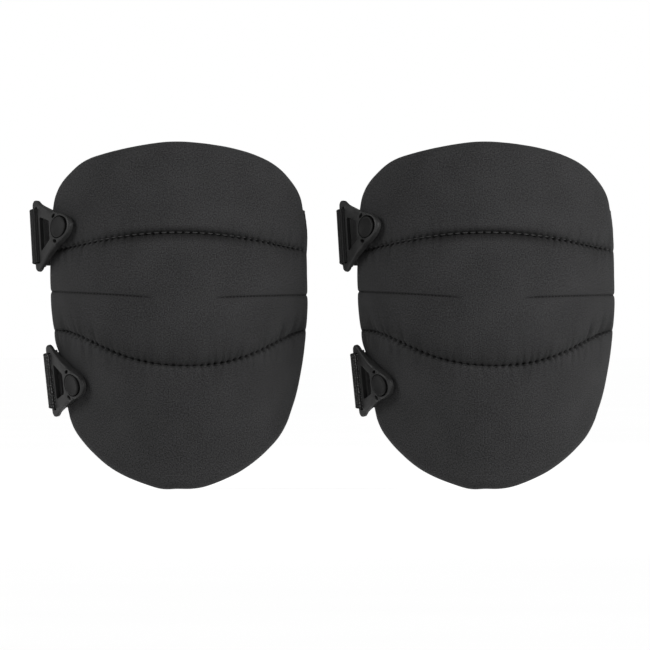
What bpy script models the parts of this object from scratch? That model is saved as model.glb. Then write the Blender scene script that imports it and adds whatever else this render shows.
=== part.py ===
"""A pair of soft, strap-on knee pads in metres, as worn: +Z runs up the leg and -Y faces forwards.

Each pad is a slab of foam inserts between a woven cover and a knitted lining, curved round the knee.
Two elastic straps are sewn behind its right edge, run round the back of the leg and end in a clip,
which snaps over a button on its left edge. The origin is the knee point of the left pad, at the middle
of the lining's face. Left and right are as seen from the front.
"""

import math

import bmesh
import bpy
import numpy as np
from mathutils import Matrix, Vector

# The pad.
PAD_SPACING = 0.209
HALF_THICKNESS = 0.0074
FABRIC = 0.001
FOAM_GAP = 0.0012
OUTLINE = [
    (-0.003, 0.1183),
    (0.036, 0.1143),
    (0.0635, 0.1035),
    (0.0803, 0.0867),
    (0.0845, 0.0710),
    (0.0868, 0.0499),
    (0.0867, 0.0270),
    (0.0872, 0.0080),
    (0.0859, -0.0159),
    (0.0825, -0.0380),
    (0.0772, -0.0596),
    (0.0678, -0.0811),
    (0.0448, -0.1031),
    (0.0177, -0.1149),
    (-0.0010, -0.1171),
    (-0.0163, -0.1158),
    (-0.0450, -0.1037),
    (-0.0673, -0.0820),
    (-0.0756, -0.0649),
    (-0.0788, -0.0384),
    (-0.0819, -0.0250),
    (-0.0845, -0.0161),
    (-0.0869, 0.0050),
    (-0.0882, 0.0272),
    (-0.0872, 0.0550),
    (-0.0847, 0.0822),
    (-0.0741, 0.0981),
    (-0.0562, 0.1093),
]

# The curve round the knee: the wings sweep back, and the thigh and shin ends lean back from the dart line.
WING_DEPTH = 0.110
WING_REACH = 0.092
WING_REACH_CHANGE = 0.009
WING_REACH_OVER = 0.060
DART_HEIGHT = 0.014
LEAN = math.tan(math.radians(15.5))
LEAN_ROUNDING_MIDDLE = 0.040
LEAN_ROUNDING_SIDE = 0.014

# Quilting seams, as parabolas: height at the middle, place of the middle, and rise at 84 mm to the side.
SEAM_SPAN = 0.084
UPPER_SEAM = (0.0570, 0.000, -0.0118)
LOWER_SEAM = (-0.0343, 0.0058, 0.0284)
SEAM_GAP = 0.0016

# Fabric rings, from the middle outwards: FRONT_RINGS on the flat, the rest round the edge.
DISC_SQUARES = 18
FRONT_RINGS = 6
LINING_SQUARES = 12
RING_SPREAD = math.radians(56)
EDGE_ROLL = math.radians(150)
LINING_SHARE = 0.955
TAPE_FROM_ANGLE = math.radians(130)
TAPE_INNER_SHARE = 0.925
TAPE_GAP = 0.0006

# Webbing, clip and button.
WEB_WIDTH = 0.038
WEB_THICKNESS = 0.0016
LAYER_PITCH = 0.0021
CLIP_LOW = 0.0026
CLIP_THICKNESS = 0.0032
CLIP_BAR_REACH = 0.0272
CLIP_HALF_HEIGHT = 0.0245
CLIP_SIDE = [
    (0.0122, 0.0),
    (0.0114, 0.0025),
    (0.0099, 0.0048),
    (0.0069, 0.0071),
    (0.0025, 0.0093),
    (-0.0025, 0.0112),
    (-0.0060, 0.0130),
    (-0.0104, 0.0156),
    (-0.0185, 0.0210),
]
SLOT_MIDDLE = 0.0230
SLOT_HALF_WIDTH = 0.0013
SLOT_HALF_LENGTH = 0.0198
BUTTON_HOLE_RADIUS = 0.0082
COLLAR_INNER = 0.0088
COLLAR_OUTER = [(0.0072, 0.0058), (0.0092, 0.0043), (0.0107, 0.0022), (0.0115, 0.0)]
COLLAR_HEIGHT = 0.0012
HEAD_RADIUS = 0.0077
BORE_RADIUS = 0.0032
NECK_RADIUS = 0.0029
SPIGOT_RADIUS = 0.0042
COVER_HOLE_RADIUS = 0.0046

# Each strap: its button's place on the pad's middle surface, the clip's roll about the button, how far
# the strap stands out at the left, the right and the back, and from where to where it is sewn on.
STRAPS = {
    "upper": {
        "button": (-0.0717, 0.0588),
        "roll": 14.0,
        "left": -0.0970,
        "right": 0.0866,
        "back": 0.149,
        "sewn": (0.054, 0.0790),
    },
    "lower": {
        "button": (-0.0622, -0.0443),
        "roll": -6.0,
        "left": -0.0860,
        "right": 0.0652,
        "back": 0.131,
        "sewn": (0.044, 0.0692),
    },
}
STRAP_END_RADIUS = 0.034
STRAP_FILLET_RADIUS = 0.024
STRAP_END_BEHIND_BAR = 0.017
TAIL_PAST_MIDDLE = math.radians(11)
ADJUSTER_ANGLE = math.radians(4)
ADJUSTER_LENGTH = 0.026
TAB_LENGTH = 0.016

ROUND_STEPS = 20
COLOURS = {
    "cover_nylon": ((0.035, 0.035, 0.037, 1.0), 0.85),
    "lining_knit": ((0.020, 0.020, 0.022, 1.0), 0.95),
    "binding_tape": ((0.015, 0.015, 0.016, 1.0), 0.80),
    "foam": ((0.060, 0.060, 0.065, 1.0), 0.95),
    "webbing": ((0.012, 0.012, 0.012, 1.0), 0.90),
    "clip_plastic": ((0.030, 0.030, 0.031, 1.0), 0.45),
    "washer_steel": ((0.450, 0.450, 0.460, 1.0), 0.35),
}


def clear_scene():
    for item in list(bpy.data.objects):
        bpy.data.objects.remove(item)


def collection(name):
    made = bpy.data.collections.new(name)
    bpy.context.scene.collection.children.link(made)
    return made


def material(name):
    colour, roughness = COLOURS[name]
    made = bpy.data.materials.get(name) or bpy.data.materials.new(name)
    made.use_nodes = True
    shader = made.node_tree.nodes["Principled BSDF"]
    shader.inputs["Base Color"].default_value = colour
    shader.inputs["Roughness"].default_value = roughness
    shader.inputs["Metallic"].default_value = 1.0 if name == "washer_steel" else 0.0
    return made


def place(name, mesh, surface, pad, matrix=None):
    """Links a mesh as one sub-part of a pad; its matrix is in the pad's own frame."""
    made = bpy.data.objects.new(name, mesh)
    made.data.materials.clear()
    made.data.materials.append(material(surface))
    pad["parts"].objects.link(made)
    made.parent = pad["empty"]
    made.matrix_local = matrix or Matrix.Identity(4)
    return made


# ---------------------------------------------------------------- the pad's surfaces


def smooth_loop(points, steps=14):
    """A closed Catmull-Rom curve through the points, as an array."""
    loop = []
    count = len(points)
    for i in range(count):
        a, b, c, d = (np.array(points[(i + k) % count]) for k in (-1, 0, 1, 2))
        for t in np.arange(steps) / steps:
            square, cube = 2 * a - 5 * b + 4 * c - d, 3 * b - a - 3 * c + d
            loop.append(0.5 * (2 * b + (c - a) * t + square * t**2 + cube * t**3))
    return np.array(loop)


def inset(loop, distance):
    """The clockwise loop moved inwards."""
    along = np.roll(loop, -1, axis=0) - np.roll(loop, 1, axis=0)
    along /= np.linalg.norm(along, axis=1)[:, None]
    return loop + distance * np.stack([along[:, 1], -along[:, 0]], axis=1)


EDGE_LINE = inset(smooth_loop(OUTLINE), HALF_THICKNESS)


def reach(angle):
    """Distance from the pad's middle to its edge line, the centre of the rounded edge."""
    angles = np.arctan2(EDGE_LINE[:, 1], EDGE_LINE[:, 0])
    order = np.argsort(angles)
    radii = np.linalg.norm(EDGE_LINE, axis=1)
    return float(np.interp(angle, angles[order], radii[order], period=2 * math.pi))


def depth(x, z):
    """How far back the pad's middle surface lies at a place in front view."""
    wing_reach = WING_REACH + WING_REACH_CHANGE * math.tanh(z / WING_REACH_OVER)
    side = min(abs(x) / wing_reach, 0.98)
    wing = WING_DEPTH * (1 - math.sqrt(1 - side**2))
    share = min(1.0, abs(x) / SEAM_SPAN)
    rounding = LEAN_ROUNDING_MIDDLE + (LEAN_ROUNDING_SIDE - LEAN_ROUNDING_MIDDLE) * share
    lean = LEAN * (math.hypot(z - DART_HEIGHT, rounding) - rounding)
    return wing + lean - HALF_THICKNESS


def facing(x, z):
    """Unit normal of the middle surface, towards the front."""
    step = 1e-5
    slope_x = (depth(x + step, z) - depth(x - step, z)) / (2 * step)
    slope_z = (depth(x, z + step) - depth(x, z - step)) / (2 * step)
    return Vector((slope_x, -1.0, slope_z)).normalized()


def pad_point(x, z, out=0.0):
    """A point out in front of the middle surface, or behind it where out is negative."""
    return Vector((x, depth(x, z), z)) + out * facing(x, z)


def edge_point(angle, roll, radius):
    """A point round the pad's rounded edge: roll 0 faces forwards and 180 degrees backwards."""
    step = 1e-3
    x, z = reach(angle) * math.cos(angle), reach(angle) * math.sin(angle)
    next_x = reach(angle + step) * math.cos(angle + step)
    next_z = reach(angle + step) * math.sin(angle + step)
    ahead = Vector((next_x - x, depth(next_x, next_z) - depth(x, z), next_z - z))
    front = facing(x, z)
    outwards = ahead.cross(front).normalized()
    return Vector((x, depth(x, z), z)) + radius * (math.cos(roll) * front + math.sin(roll) * outwards)


def spread(ring):
    """The share of the way out at which a ring from 0 to 1 lies: closer together towards the wings."""
    return math.sin(RING_SPREAD * ring) / math.sin(RING_SPREAD)


def disc_sheet(name, squares, point_at):
    """A square grid mapped onto a disc, ring by ring; point_at takes a ring from 0 to 1 and an angle."""
    mesh = bpy.data.meshes.new(name)
    sheet = bmesh.new()
    bmesh.ops.create_grid(sheet, x_segments=squares, y_segments=squares, size=1.0)
    for corner in sheet.verts:
        a, b = corner.co.x, corner.co.y
        ring = max(abs(a), abs(b))
        if ring < 1e-6:
            corner.co = point_at(0.0, 0.0)
            continue
        if abs(a) >= abs(b):
            angle = math.pi / 4 * b / a + (math.pi if a < 0 else 0)
        else:
            angle = math.pi / 2 - math.pi / 4 * a / b + (math.pi if b < 0 else 0)
        corner.co = point_at(ring, math.remainder(angle, 2 * math.pi))
    sheet.to_mesh(mesh)
    sheet.free()
    return mesh


def strip_sheet(name, rows, closed=False):
    """Quads between neighbouring rows of points."""
    mesh = bpy.data.meshes.new(name)
    width = len(rows[0])
    last = len(rows) if closed else len(rows) - 1
    faces = []
    for i in range(last):
        here, there = i * width, (i + 1) % len(rows) * width
        faces += [(here + k, here + k + 1, there + k + 1, there + k) for k in range(width - 1)]
    mesh.from_pydata([tuple(p) for row in rows for p in row], [], faces)
    return mesh


def thicken(piece, thickness, offset):
    """Solidify: offset -1 adds behind the faces, 1 in front of them and 0 on both sides."""
    modifier = piece.modifiers.new("thickness", "SOLIDIFY")
    modifier.thickness = thickness
    modifier.offset = offset
    modifier.use_even_offset = True
    return piece


def cut(piece, cutter):
    modifier = piece.modifiers.new("cut", "BOOLEAN")
    modifier.operation = "DIFFERENCE"
    modifier.object = cutter
    modifier.solver = "EXACT"


def smooth(piece, degrees=35):
    piece.data.shade_smooth()
    piece.data.set_sharp_from_angle(angle=math.radians(degrees))
    return piece


def cover(pad):
    """The woven face, rolled round the edge to the back."""

    def point_at(ring, angle):
        flat = FRONT_RINGS / (DISC_SQUARES / 2)
        if ring <= flat:
            radius = reach(angle) * spread(ring / flat)
            return pad_point(radius * math.cos(angle), radius * math.sin(angle), HALF_THICKNESS)
        return edge_point(angle, EDGE_ROLL * (ring - flat) / (1 - flat), HALF_THICKNESS)

    piece = place(pad["name"] + "_cover", disc_sheet("cover", DISC_SQUARES, point_at), "cover_nylon", pad)
    thicken(piece, FABRIC, -1)
    for button in pad["buttons"].values():
        cut(piece, bore_cutter(pad, button, COVER_HOLE_RADIUS, 0.002, -0.006))
    return smooth(piece, 60)


def lining(pad):
    """The knitted face against the leg."""

    def point_at(ring, angle):
        radius = LINING_SHARE * reach(angle) * spread(ring)
        return pad_point(radius * math.cos(angle), radius * math.sin(angle), -HALF_THICKNESS)

    mesh = disc_sheet("lining", LINING_SQUARES, point_at)
    piece = place(pad["name"] + "_lining", mesh, "lining_knit", pad)
    return smooth(thicken(piece, FABRIC, 1), 60)


def binding(pad):
    """Tape over the join between cover and lining, all round the back."""
    rows = []
    radius = HALF_THICKNESS + TAPE_GAP
    sectors = 4 * DISC_SQUARES
    for i in range(sectors):
        angle = 2 * math.pi * i / sectors
        inner = TAPE_INNER_SHARE * reach(angle)
        rows.append(
            [
                edge_point(angle, TAPE_FROM_ANGLE, radius),
                edge_point(angle, (TAPE_FROM_ANGLE + math.pi) / 2, radius),
                edge_point(angle, math.pi, radius),
                pad_point(inner * math.cos(angle), inner * math.sin(angle), -radius),
            ]
        )
    piece = place(pad["name"] + "_binding", strip_sheet("binding", rows, closed=True), "binding_tape", pad)
    return smooth(thicken(piece, FABRIC, 1), 60)


def seam_height(seam, x):
    middle, place_x, rise = seam
    return middle + rise * ((x - place_x) / SEAM_SPAN) ** 2


def edge_height(x, top):
    """Height of the edge line above or below the middle, at a place across the pad."""
    half = EDGE_LINE[EDGE_LINE[:, 1] > 0] if top else EDGE_LINE[EDGE_LINE[:, 1] < 0]
    order = np.argsort(half[:, 0])
    return float(np.interp(x, half[order, 0], half[order, 1]))


def foam_insert(pad, name, low, high, columns=12, rows=5):
    """Foam between two boundary lines, each a function of the share across from -1 to 1."""
    face_out = HALF_THICKNESS - FABRIC - FOAM_GAP
    sheet_rows = []
    for i in range(columns + 1):
        across = 2 * i / columns - 1
        (xa, za), (xb, zb) = low(across), high(across)
        shares = [k / rows for k in range(rows + 1)]
        sheet_rows.append([pad_point(xa + (xb - xa) * t, za + (zb - za) * t, face_out) for t in shares])
    piece = place(f"{pad['name']}_foam_{name}", strip_sheet(name, sheet_rows), "foam", pad)
    piece.data.flip_normals()
    thicken(piece, 2 * face_out, -1)
    for button in pad["buttons"].values():
        cut(piece, bore_cutter(pad, button, 0.0105, 0.002, -0.0058))
    return smooth(piece, 60)


def foams(pad):
    """Three inserts, one for each quilted pocket."""
    thigh, centre, shin = (0.077, 0.070), 0.0775, (0.076, 0.062)

    def seam_line(seam, width, side):
        return lambda across: (width * across, seam_height(seam, width * across) + side * SEAM_GAP)

    def edge_line(width, top):
        return lambda across: (width * across, 0.96 * edge_height(width * across, top))

    foam_insert(pad, "thigh", seam_line(UPPER_SEAM, thigh[0], 1), edge_line(thigh[1], True))
    foam_insert(pad, "knee", seam_line(LOWER_SEAM, centre, 1), seam_line(UPPER_SEAM, centre, -1), rows=6)
    foam_insert(pad, "shin", edge_line(shin[1], False), seam_line(LOWER_SEAM, shin[0], -1))


# ---------------------------------------------------------------- buttons and clips


def button_frame(strap):
    """Origin on the cover under the button, X towards the clip's apex and Z along the button's axis."""
    x, z = strap["button"]
    axis = facing(x, z)
    across = Vector((0, 0, 1)).cross(axis).normalized()
    basis = Matrix((across, axis.cross(across), axis)).transposed().to_4x4()
    roll = Matrix.Rotation(math.radians(strap["roll"]), 4, "Z")
    return Matrix.Translation(pad_point(x, z, HALF_THICKNESS)) @ basis @ roll


def bore_cutter(pad, button, radius, high, low):
    """A cylinder along a button's axis, kept out of the render."""
    mesh = bpy.data.meshes.new("bore")
    tool = bmesh.new()
    bmesh.ops.create_cone(
        tool, cap_ends=True, segments=16, radius1=radius, radius2=radius, depth=high - low
    )
    tool.to_mesh(mesh)
    tool.free()
    made = bpy.data.objects.new("bore_cutter", mesh)
    pad["cutters"].objects.link(made)
    made.parent = pad["empty"]
    made.matrix_local = button @ Matrix.Translation((0, 0, (high + low) / 2))
    made.hide_render = True
    made.display_type = "WIRE"
    return made


def turned(name, profile, surface, pad, matrix, closed=False):
    """A profile of radius and height, listed from the top down its outer side, turned about Z."""
    mesh = bpy.data.meshes.new(name)
    count = len(profile)
    edges = [(i, i + 1) for i in range(count - 1)] + ([(count - 1, 0)] if closed else [])
    mesh.from_pydata([(r, 0, h) for r, h in profile], edges, [])
    piece = place(name, mesh, surface, pad, matrix)
    screw = piece.modifiers.new("turn", "SCREW")
    screw.steps = screw.render_steps = ROUND_STEPS
    screw.use_merge_vertices = True
    screw.merge_threshold = 1e-5
    return piece


def button(pad, label, frame):
    """The riveted base, its backing washer and the stud that turns in them."""
    prefix = f"{pad['name']}_{label}_button_"
    flange, flange_low, flange_top = 0.0086, 0.0003, 0.0019
    spigot_end = -0.0034
    base = [
        (BORE_RADIUS, flange_top),
        (flange - 0.0008, flange_top),
        (flange, flange_top - 0.0008),
        (flange, flange_low),
        (SPIGOT_RADIUS, flange_low),
        (SPIGOT_RADIUS, spigot_end),
        (BORE_RADIUS, spigot_end),
    ]
    turned(prefix + "base", base, "clip_plastic", pad, frame, closed=True)
    washer = [(0.0045, -0.0020), (0.0085, -0.0020), (0.0085, -0.0029), (0.0045, -0.0029)]
    turned(prefix + "washer", washer, "washer_steel", pad, frame, closed=True)
    head_low, head_top, waist_low = 0.0046, 0.0070, 0.0022
    stud = [
        (0.0, head_top),
        (HEAD_RADIUS - 0.0014, head_top),
        (HEAD_RADIUS, head_top - 0.0009),
        (HEAD_RADIUS, head_low + 0.0004),
        (0.0060, head_low),
        (0.0060, waist_low),
        (NECK_RADIUS, waist_low),
        (NECK_RADIUS, -0.0037),
        (0.0043, -0.0037),
        (0.0043, -0.0047),
        (0.0, -0.0047),
    ]
    turned(prefix + "stud", stud, "clip_plastic", pad, frame)


def circle(radius, start=0.0, end=360.0, steps=24):
    """Points about the button's axis, in degrees from the apex. A full turn doesn't repeat its start."""
    whole = abs(end - start) >= 360
    count = steps if whole else steps + 1
    angles = [math.radians(start + (end - start) * i / steps) for i in range(count)]
    return [(radius * math.cos(a), radius * math.sin(a)) for a in angles]


def clip_outline():
    """The rounded triangle: half of it above the apex line, then its mirror image."""
    bar, top = CLIP_BAR_REACH, CLIP_HALF_HEIGHT
    corner = [(-0.0200, top - 0.0028), (-0.0222, top - 0.0014)]
    corner += [(-0.0240, top), (-bar + 0.0012, top - 0.0006), (-bar, top - 0.0030)]
    upper = CLIP_SIDE + corner
    return upper + [(x, -z) for x, z in reversed(upper[1:])]


def plate_curve(name, loops, half_thickness):
    """A flat shape with holes, as a 2D curve extruded to both sides."""
    curve = bpy.data.curves.new(name, "CURVE")
    curve.dimensions = "2D"
    curve.fill_mode = "BOTH"
    curve.extrude = half_thickness
    for loop in loops:
        spline = curve.splines.new("POLY")
        spline.points.add(len(loop) - 1)
        for point, (x, z) in zip(spline.points, loop, strict=True):
            point.co = (x, z, 0, 1)
        spline.use_cyclic_u = True
    return curve


def curve_to_mesh(curve, height):
    """The curve's solid, welded, with its middle at that height."""
    holder = bpy.data.objects.new("holder", curve)
    bpy.context.scene.collection.objects.link(holder)
    graph = bpy.context.evaluated_depsgraph_get()
    mesh = bpy.data.meshes.new_from_object(holder.evaluated_get(graph))
    bpy.data.objects.remove(holder)
    solid = bmesh.new()
    solid.from_mesh(mesh)
    bmesh.ops.remove_doubles(solid, verts=solid.verts, dist=1e-6)
    bmesh.ops.translate(solid, verts=solid.verts, vec=(0, 0, height))
    solid.to_mesh(mesh)
    solid.free()
    return mesh


def clip(pad, label, frame):
    """The triangular clip: webbing slot, window, button hole with two flex slots, and a raised collar."""
    slot = [
        (-SLOT_MIDDLE - SLOT_HALF_WIDTH, -SLOT_HALF_LENGTH),
        (-SLOT_MIDDLE + SLOT_HALF_WIDTH, -SLOT_HALF_LENGTH),
        (-SLOT_MIDDLE + SLOT_HALF_WIDTH, SLOT_HALF_LENGTH),
        (-SLOT_MIDDLE - SLOT_HALF_WIDTH, SLOT_HALF_LENGTH),
    ]
    window = [(-0.0197, -0.0116), (-0.0105, -0.0072), (-0.0105, 0.0072), (-0.0197, 0.0116)]
    hole = circle(BUTTON_HOLE_RADIUS)
    flex_slots = []
    for side in (-1, 1):
        flex = circle(0.0092, 112, 126, 2) + circle(0.0108, 126, 112, 2)
        flex_slots.append([(x, side * z) for x, z in flex])
    loops = [clip_outline(), slot, window, hole, *flex_slots]
    middle = CLIP_LOW + CLIP_THICKNESS / 2
    plate = curve_to_mesh(plate_curve("clip", loops, CLIP_THICKNESS / 2), middle)
    piece = place(f"{pad['name']}_{label}_clip", plate, "clip_plastic", pad, frame)
    crescent = COLLAR_OUTER + [(x, -z) for x, z in reversed(COLLAR_OUTER[:-1])]
    crescent += circle(COLLAR_INNER, -38, 38, 6)
    overlap = 0.0006
    collar_middle = CLIP_LOW + CLIP_THICKNESS + (COLLAR_HEIGHT - overlap) / 2
    collar_curve = plate_curve("collar", [crescent], (COLLAR_HEIGHT + overlap) / 2)
    collar_mesh = curve_to_mesh(collar_curve, collar_middle)
    collar = bpy.data.objects.new("collar_join", collar_mesh)
    pad["cutters"].objects.link(collar)
    collar.parent = pad["empty"]
    collar.matrix_local = frame
    collar.hide_render = True
    collar.display_type = "WIRE"
    join = piece.modifiers.new("collar", "BOOLEAN")
    join.operation = "UNION"
    join.object = collar
    join.solver = "EXACT"
    return smooth(piece, 30)


# ---------------------------------------------------------------- straps


def arc_points(start, heading, radius, sweep, steps):
    """Points along an arc that turns left, after its start. Headings are in radians from +X."""
    centre = (start[0] - radius * math.sin(heading), start[1] + radius * math.cos(heading))
    turns = [heading + sweep * i / steps for i in range(1, steps + 1)]
    return [(centre[0] + radius * math.sin(t), centre[1] - radius * math.cos(t)) for t in turns]


def strap_shape(strap, frame):
    """The strap's line in plan, from the sewn end on the right round the leg to the clip on the left."""
    height = (frame @ Vector((-CLIP_BAR_REACH, 0, CLIP_LOW))).z
    rise = HALF_THICKNESS + TAPE_GAP + FABRIC + 0.0012 + WEB_THICKNESS / 2
    first, last = strap["sewn"]
    sewn_x = [first + (last - first) * i / 4 for i in range(5)]
    sewn = [pad_point(x, height, -rise) for x in sewn_x]
    heading = math.atan2(sewn[-1].y - sewn[-2].y, sewn[-1].x - sewn[-2].x)
    lift_x = strap["right"] - STRAP_FILLET_RADIUS * (1 - math.sin(heading))
    lift = (lift_x, sewn[-1].y + (lift_x - sewn[-1].x) * math.tan(heading))
    line = [lift]
    line += arc_points(lift, heading, STRAP_FILLET_RADIUS, math.pi / 2 - heading, 4)
    left_end = (frame @ Vector((-CLIP_BAR_REACH, 0, CLIP_LOW))).y + STRAP_END_BEHIND_BAR
    spring = max(line[-1][1], left_end) + 0.004
    line.append((strap["right"], spring))
    half_width = (strap["right"] - strap["left"]) / 2
    turn = 2 * math.atan((strap["back"] - spring - STRAP_END_RADIUS) / (half_width - STRAP_END_RADIUS))
    back_radius = STRAP_END_RADIUS + (half_width - STRAP_END_RADIUS) / math.sin(turn)
    side_sweep = math.pi / 2 - turn
    line += arc_points(line[-1], math.pi / 2, STRAP_END_RADIUS, side_sweep, 6)
    line += arc_points(line[-1], math.pi - turn, back_radius, 2 * turn, 12)
    line += arc_points(line[-1], math.pi + turn, STRAP_END_RADIUS, side_sweep, 6)
    line.append((strap["left"], left_end))
    half = WEB_WIDTH / 2
    sewn_edges = [[pad_point(x, height + side * half, -rise) for side in (1, -1)] for x in sewn_x]
    halves = []
    for i in range(len(line)):
        near_pad = max(0.0, 1 - (i / 6) ** 2)
        near_clip = max(0.0, 1 - (len(line) - 1 - i) / 7)
        pair = []
        for edge, side in zip(sewn_edges[-1], (1, -1), strict=True):
            clip_half = side * half * frame.col[1].xyz
            straight = Vector((0, 0, side * half))
            pair.append(near_pad * (edge - sewn[-1]) + near_clip * clip_half)
            pair[-1] += (1 - near_pad - near_clip) * straight
        halves.append(pair)
    middle = (strap["right"] + strap["left"]) / 2
    return {
        "height": height,
        "rise": rise,
        "sewn_edges": sewn_edges,
        "line": line,
        "halves": halves,
        "arc_centre": Vector((middle, strap["back"] - back_radius, height)),
        "back_radius": back_radius,
    }


def ribbon(name, edges, surface, pad, thickness, matrix=None):
    """Webbing between a list of top points and a list of bottom points."""
    rows = [[low, high] for high, low in edges]
    piece = place(name, strip_sheet(name, rows), surface, pad, matrix)
    thicken(piece, thickness, 0)
    return smooth(piece, 50)


def strap_band(pad, label, shape):
    """The strap's inner layer, sewn flat to the back of the pad at one end."""
    edges = list(shape["sewn_edges"])
    for (x, y), pair in zip(shape["line"], shape["halves"], strict=True):
        edges.append([Vector((x, y, shape["height"])) + half for half in pair])
    ribbon(f"{pad['name']}_{label}_strap", edges, "webbing", pad, WEB_THICKNESS)


def strap_tail(pad, label, shape):
    """The free end, folded back from the clip over the strap's outer side."""
    centre, line = shape["arc_centre"], shape["line"]
    end_x = centre.x + shape["back_radius"] * math.sin(TAIL_PAST_MIDDLE)
    edges = []
    for i, (x, y) in enumerate(line):
        ahead, behind = line[min(i + 1, len(line) - 1)], line[i - 1]
        along = Vector((ahead[0] - behind[0], ahead[1] - behind[1])).normalized()
        outer = Vector((x + LAYER_PITCH * along.y, y - LAYER_PITCH * along.x, shape["height"]))
        if i > 8 and outer.x < end_x:
            edges.append([outer + half for half in shape["halves"][i]])
    ribbon(f"{pad['name']}_{label}_strap_tail", edges, "webbing", pad, WEB_THICKNESS)


def strap_loop(pad, label, frame):
    """The turn of webbing round the clip's outer bar, which moves with the clip."""
    top = CLIP_LOW + CLIP_THICKNESS + 0.0003 + WEB_THICKNESS / 2
    outer = CLIP_BAR_REACH + 0.0006 + WEB_THICKNESS / 2
    round_off = 0.0009
    line = [
        (-SLOT_MIDDLE - 0.0072, CLIP_LOW - 0.0085),
        (-SLOT_MIDDLE - 0.0010, CLIP_LOW - 0.0024),
        (-SLOT_MIDDLE, CLIP_LOW - 0.0006),
        (-SLOT_MIDDLE, top - round_off),
        (-SLOT_MIDDLE - round_off, top),
        (-outer + round_off, top),
        (-outer, top - round_off),
        (-outer, CLIP_LOW + 0.0008),
        (-outer - 0.0008, CLIP_LOW - 0.0010),
        (-outer - 0.0058, CLIP_LOW - 0.0058),
    ]
    half = WEB_WIDTH / 2
    edges = [(Vector((x, half, h)), Vector((x, -half, h))) for x, h in line]
    ribbon(f"{pad['name']}_{label}_strap_loop", edges, "webbing", pad, WEB_THICKNESS, frame)


def box(low, high):
    """A box mesh between two corners."""
    mesh = bpy.data.meshes.new("box")
    solid = bmesh.new()
    bmesh.ops.create_cube(solid, size=1.0)
    size = [b - a for a, b in zip(low, high, strict=True)]
    bmesh.ops.scale(solid, verts=solid.verts, vec=size)
    bmesh.ops.translate(solid, verts=solid.verts, vec=[(a + b) / 2 for a, b in zip(low, high, strict=True)])
    solid.to_mesh(mesh)
    solid.free()
    return mesh


def adjuster(pad, label, shape):
    """The slider: two rails, two outer bars and a middle bar inside the strap. X runs along the strap."""
    centre, radius = shape["arc_centre"], shape["back_radius"]
    turn = Matrix.Rotation(ADJUSTER_ANGLE, 4, "Z")
    frame = Matrix.Translation(centre) @ turn @ Matrix.Translation((0, radius, 0))
    half, rail = ADJUSTER_LENGTH / 2, 0.0028
    inner = -WEB_THICKNESS / 2 - 0.0009
    outer = LAYER_PITCH + WEB_THICKNESS / 2 + 0.0009
    bar = 0.0018
    reach_z = WEB_WIDTH / 2 + 0.0008
    piece = place(
        f"{pad['name']}_{label}_adjuster",
        box((-half, inner - bar, reach_z), (half, outer + bar, reach_z + rail)),
        "clip_plastic",
        pad,
        frame,
    )
    overlap = 0.0008
    others = [box((-half, inner - bar, -reach_z - rail), (half, outer + bar, -reach_z))]
    others.append(box((-0.0028, inner - bar, -reach_z - overlap), (0.0028, inner, reach_z + overlap)))
    for side in (-1, 1):
        near, far = sorted((side * half, side * (half - 0.0042)))
        others.append(box((near, outer, -reach_z - overlap), (far, outer + bar, reach_z + overlap)))
    for mesh in others:
        tool = bpy.data.objects.new("adjuster_join", mesh)
        pad["cutters"].objects.link(tool)
        tool.parent = pad["empty"]
        tool.matrix_local = frame
        tool.hide_render = True
        tool.display_type = "WIRE"
        join = piece.modifiers.new("join", "BOOLEAN")
        join.operation = "UNION"
        join.object = tool
        join.solver = "EXACT"
    return smooth(piece, 30)


def anchor_tab(pad, label, shape):
    """The patch stitched over the strap's sewn end."""
    half = WEB_WIDTH / 2 + 0.002
    rise = shape["rise"] + WEB_THICKNESS + 0.0004
    start = STRAPS[label]["sewn"][0] - 0.003
    rows = []
    for i in range(5):
        x = start + TAB_LENGTH * i / 4
        rows.append([pad_point(x, shape["height"] + half * k / 2, -rise) for k in (-2, -1, 0, 1, 2)])
    piece = place(f"{pad['name']}_{label}_anchor_tab", strip_sheet("anchor_tab", rows), "binding_tape", pad)
    return smooth(thicken(piece, FABRIC, 0), 60)


# ---------------------------------------------------------------- the pair


def knee_pad(name, x):
    """One whole pad, with its knee point at that place across."""
    empty = bpy.data.objects.new(name + "_origin", None)
    empty.location = (x, 0, 0)
    parts = collection(name + "_knee_pad")
    parts.objects.link(empty)
    cutters = collection(name + "_cutters")
    frames = {label: button_frame(strap) for label, strap in STRAPS.items()}
    pad = {"name": name, "empty": empty, "parts": parts, "cutters": cutters, "buttons": frames}
    cover(pad)
    lining(pad)
    binding(pad)
    foams(pad)
    for label, strap in STRAPS.items():
        frame = frames[label]
        shape = strap_shape(strap, frame)
        button(pad, label, frame)
        clip(pad, label, frame)
        strap_loop(pad, label, frame)
        strap_band(pad, label, shape)
        strap_tail(pad, label, shape)
        adjuster(pad, label, shape)
        anchor_tab(pad, label, shape)


def main():
    clear_scene()
    knee_pad("left", 0.0)
    knee_pad("right", PAD_SPACING)


if __name__ == "__main__":
    main()
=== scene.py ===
"""The looks of a pair of strap-on knee pads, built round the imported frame.

Metres, with +Z up the leg and -Y forwards. Every shape is made once, in the left pad's place, and used for
both pads. Each pad has a nylon cover and a knitted lining, quilted along two seams and creased by two darts,
a binding tape, and two elastic straps that clip onto buttons.
"""

import math
import random
from functools import partial

import bmesh
import bpy
import numpy as np
from mathutils import Matrix, Vector, noise
from mathutils.bvhtree import BVHTree


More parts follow.
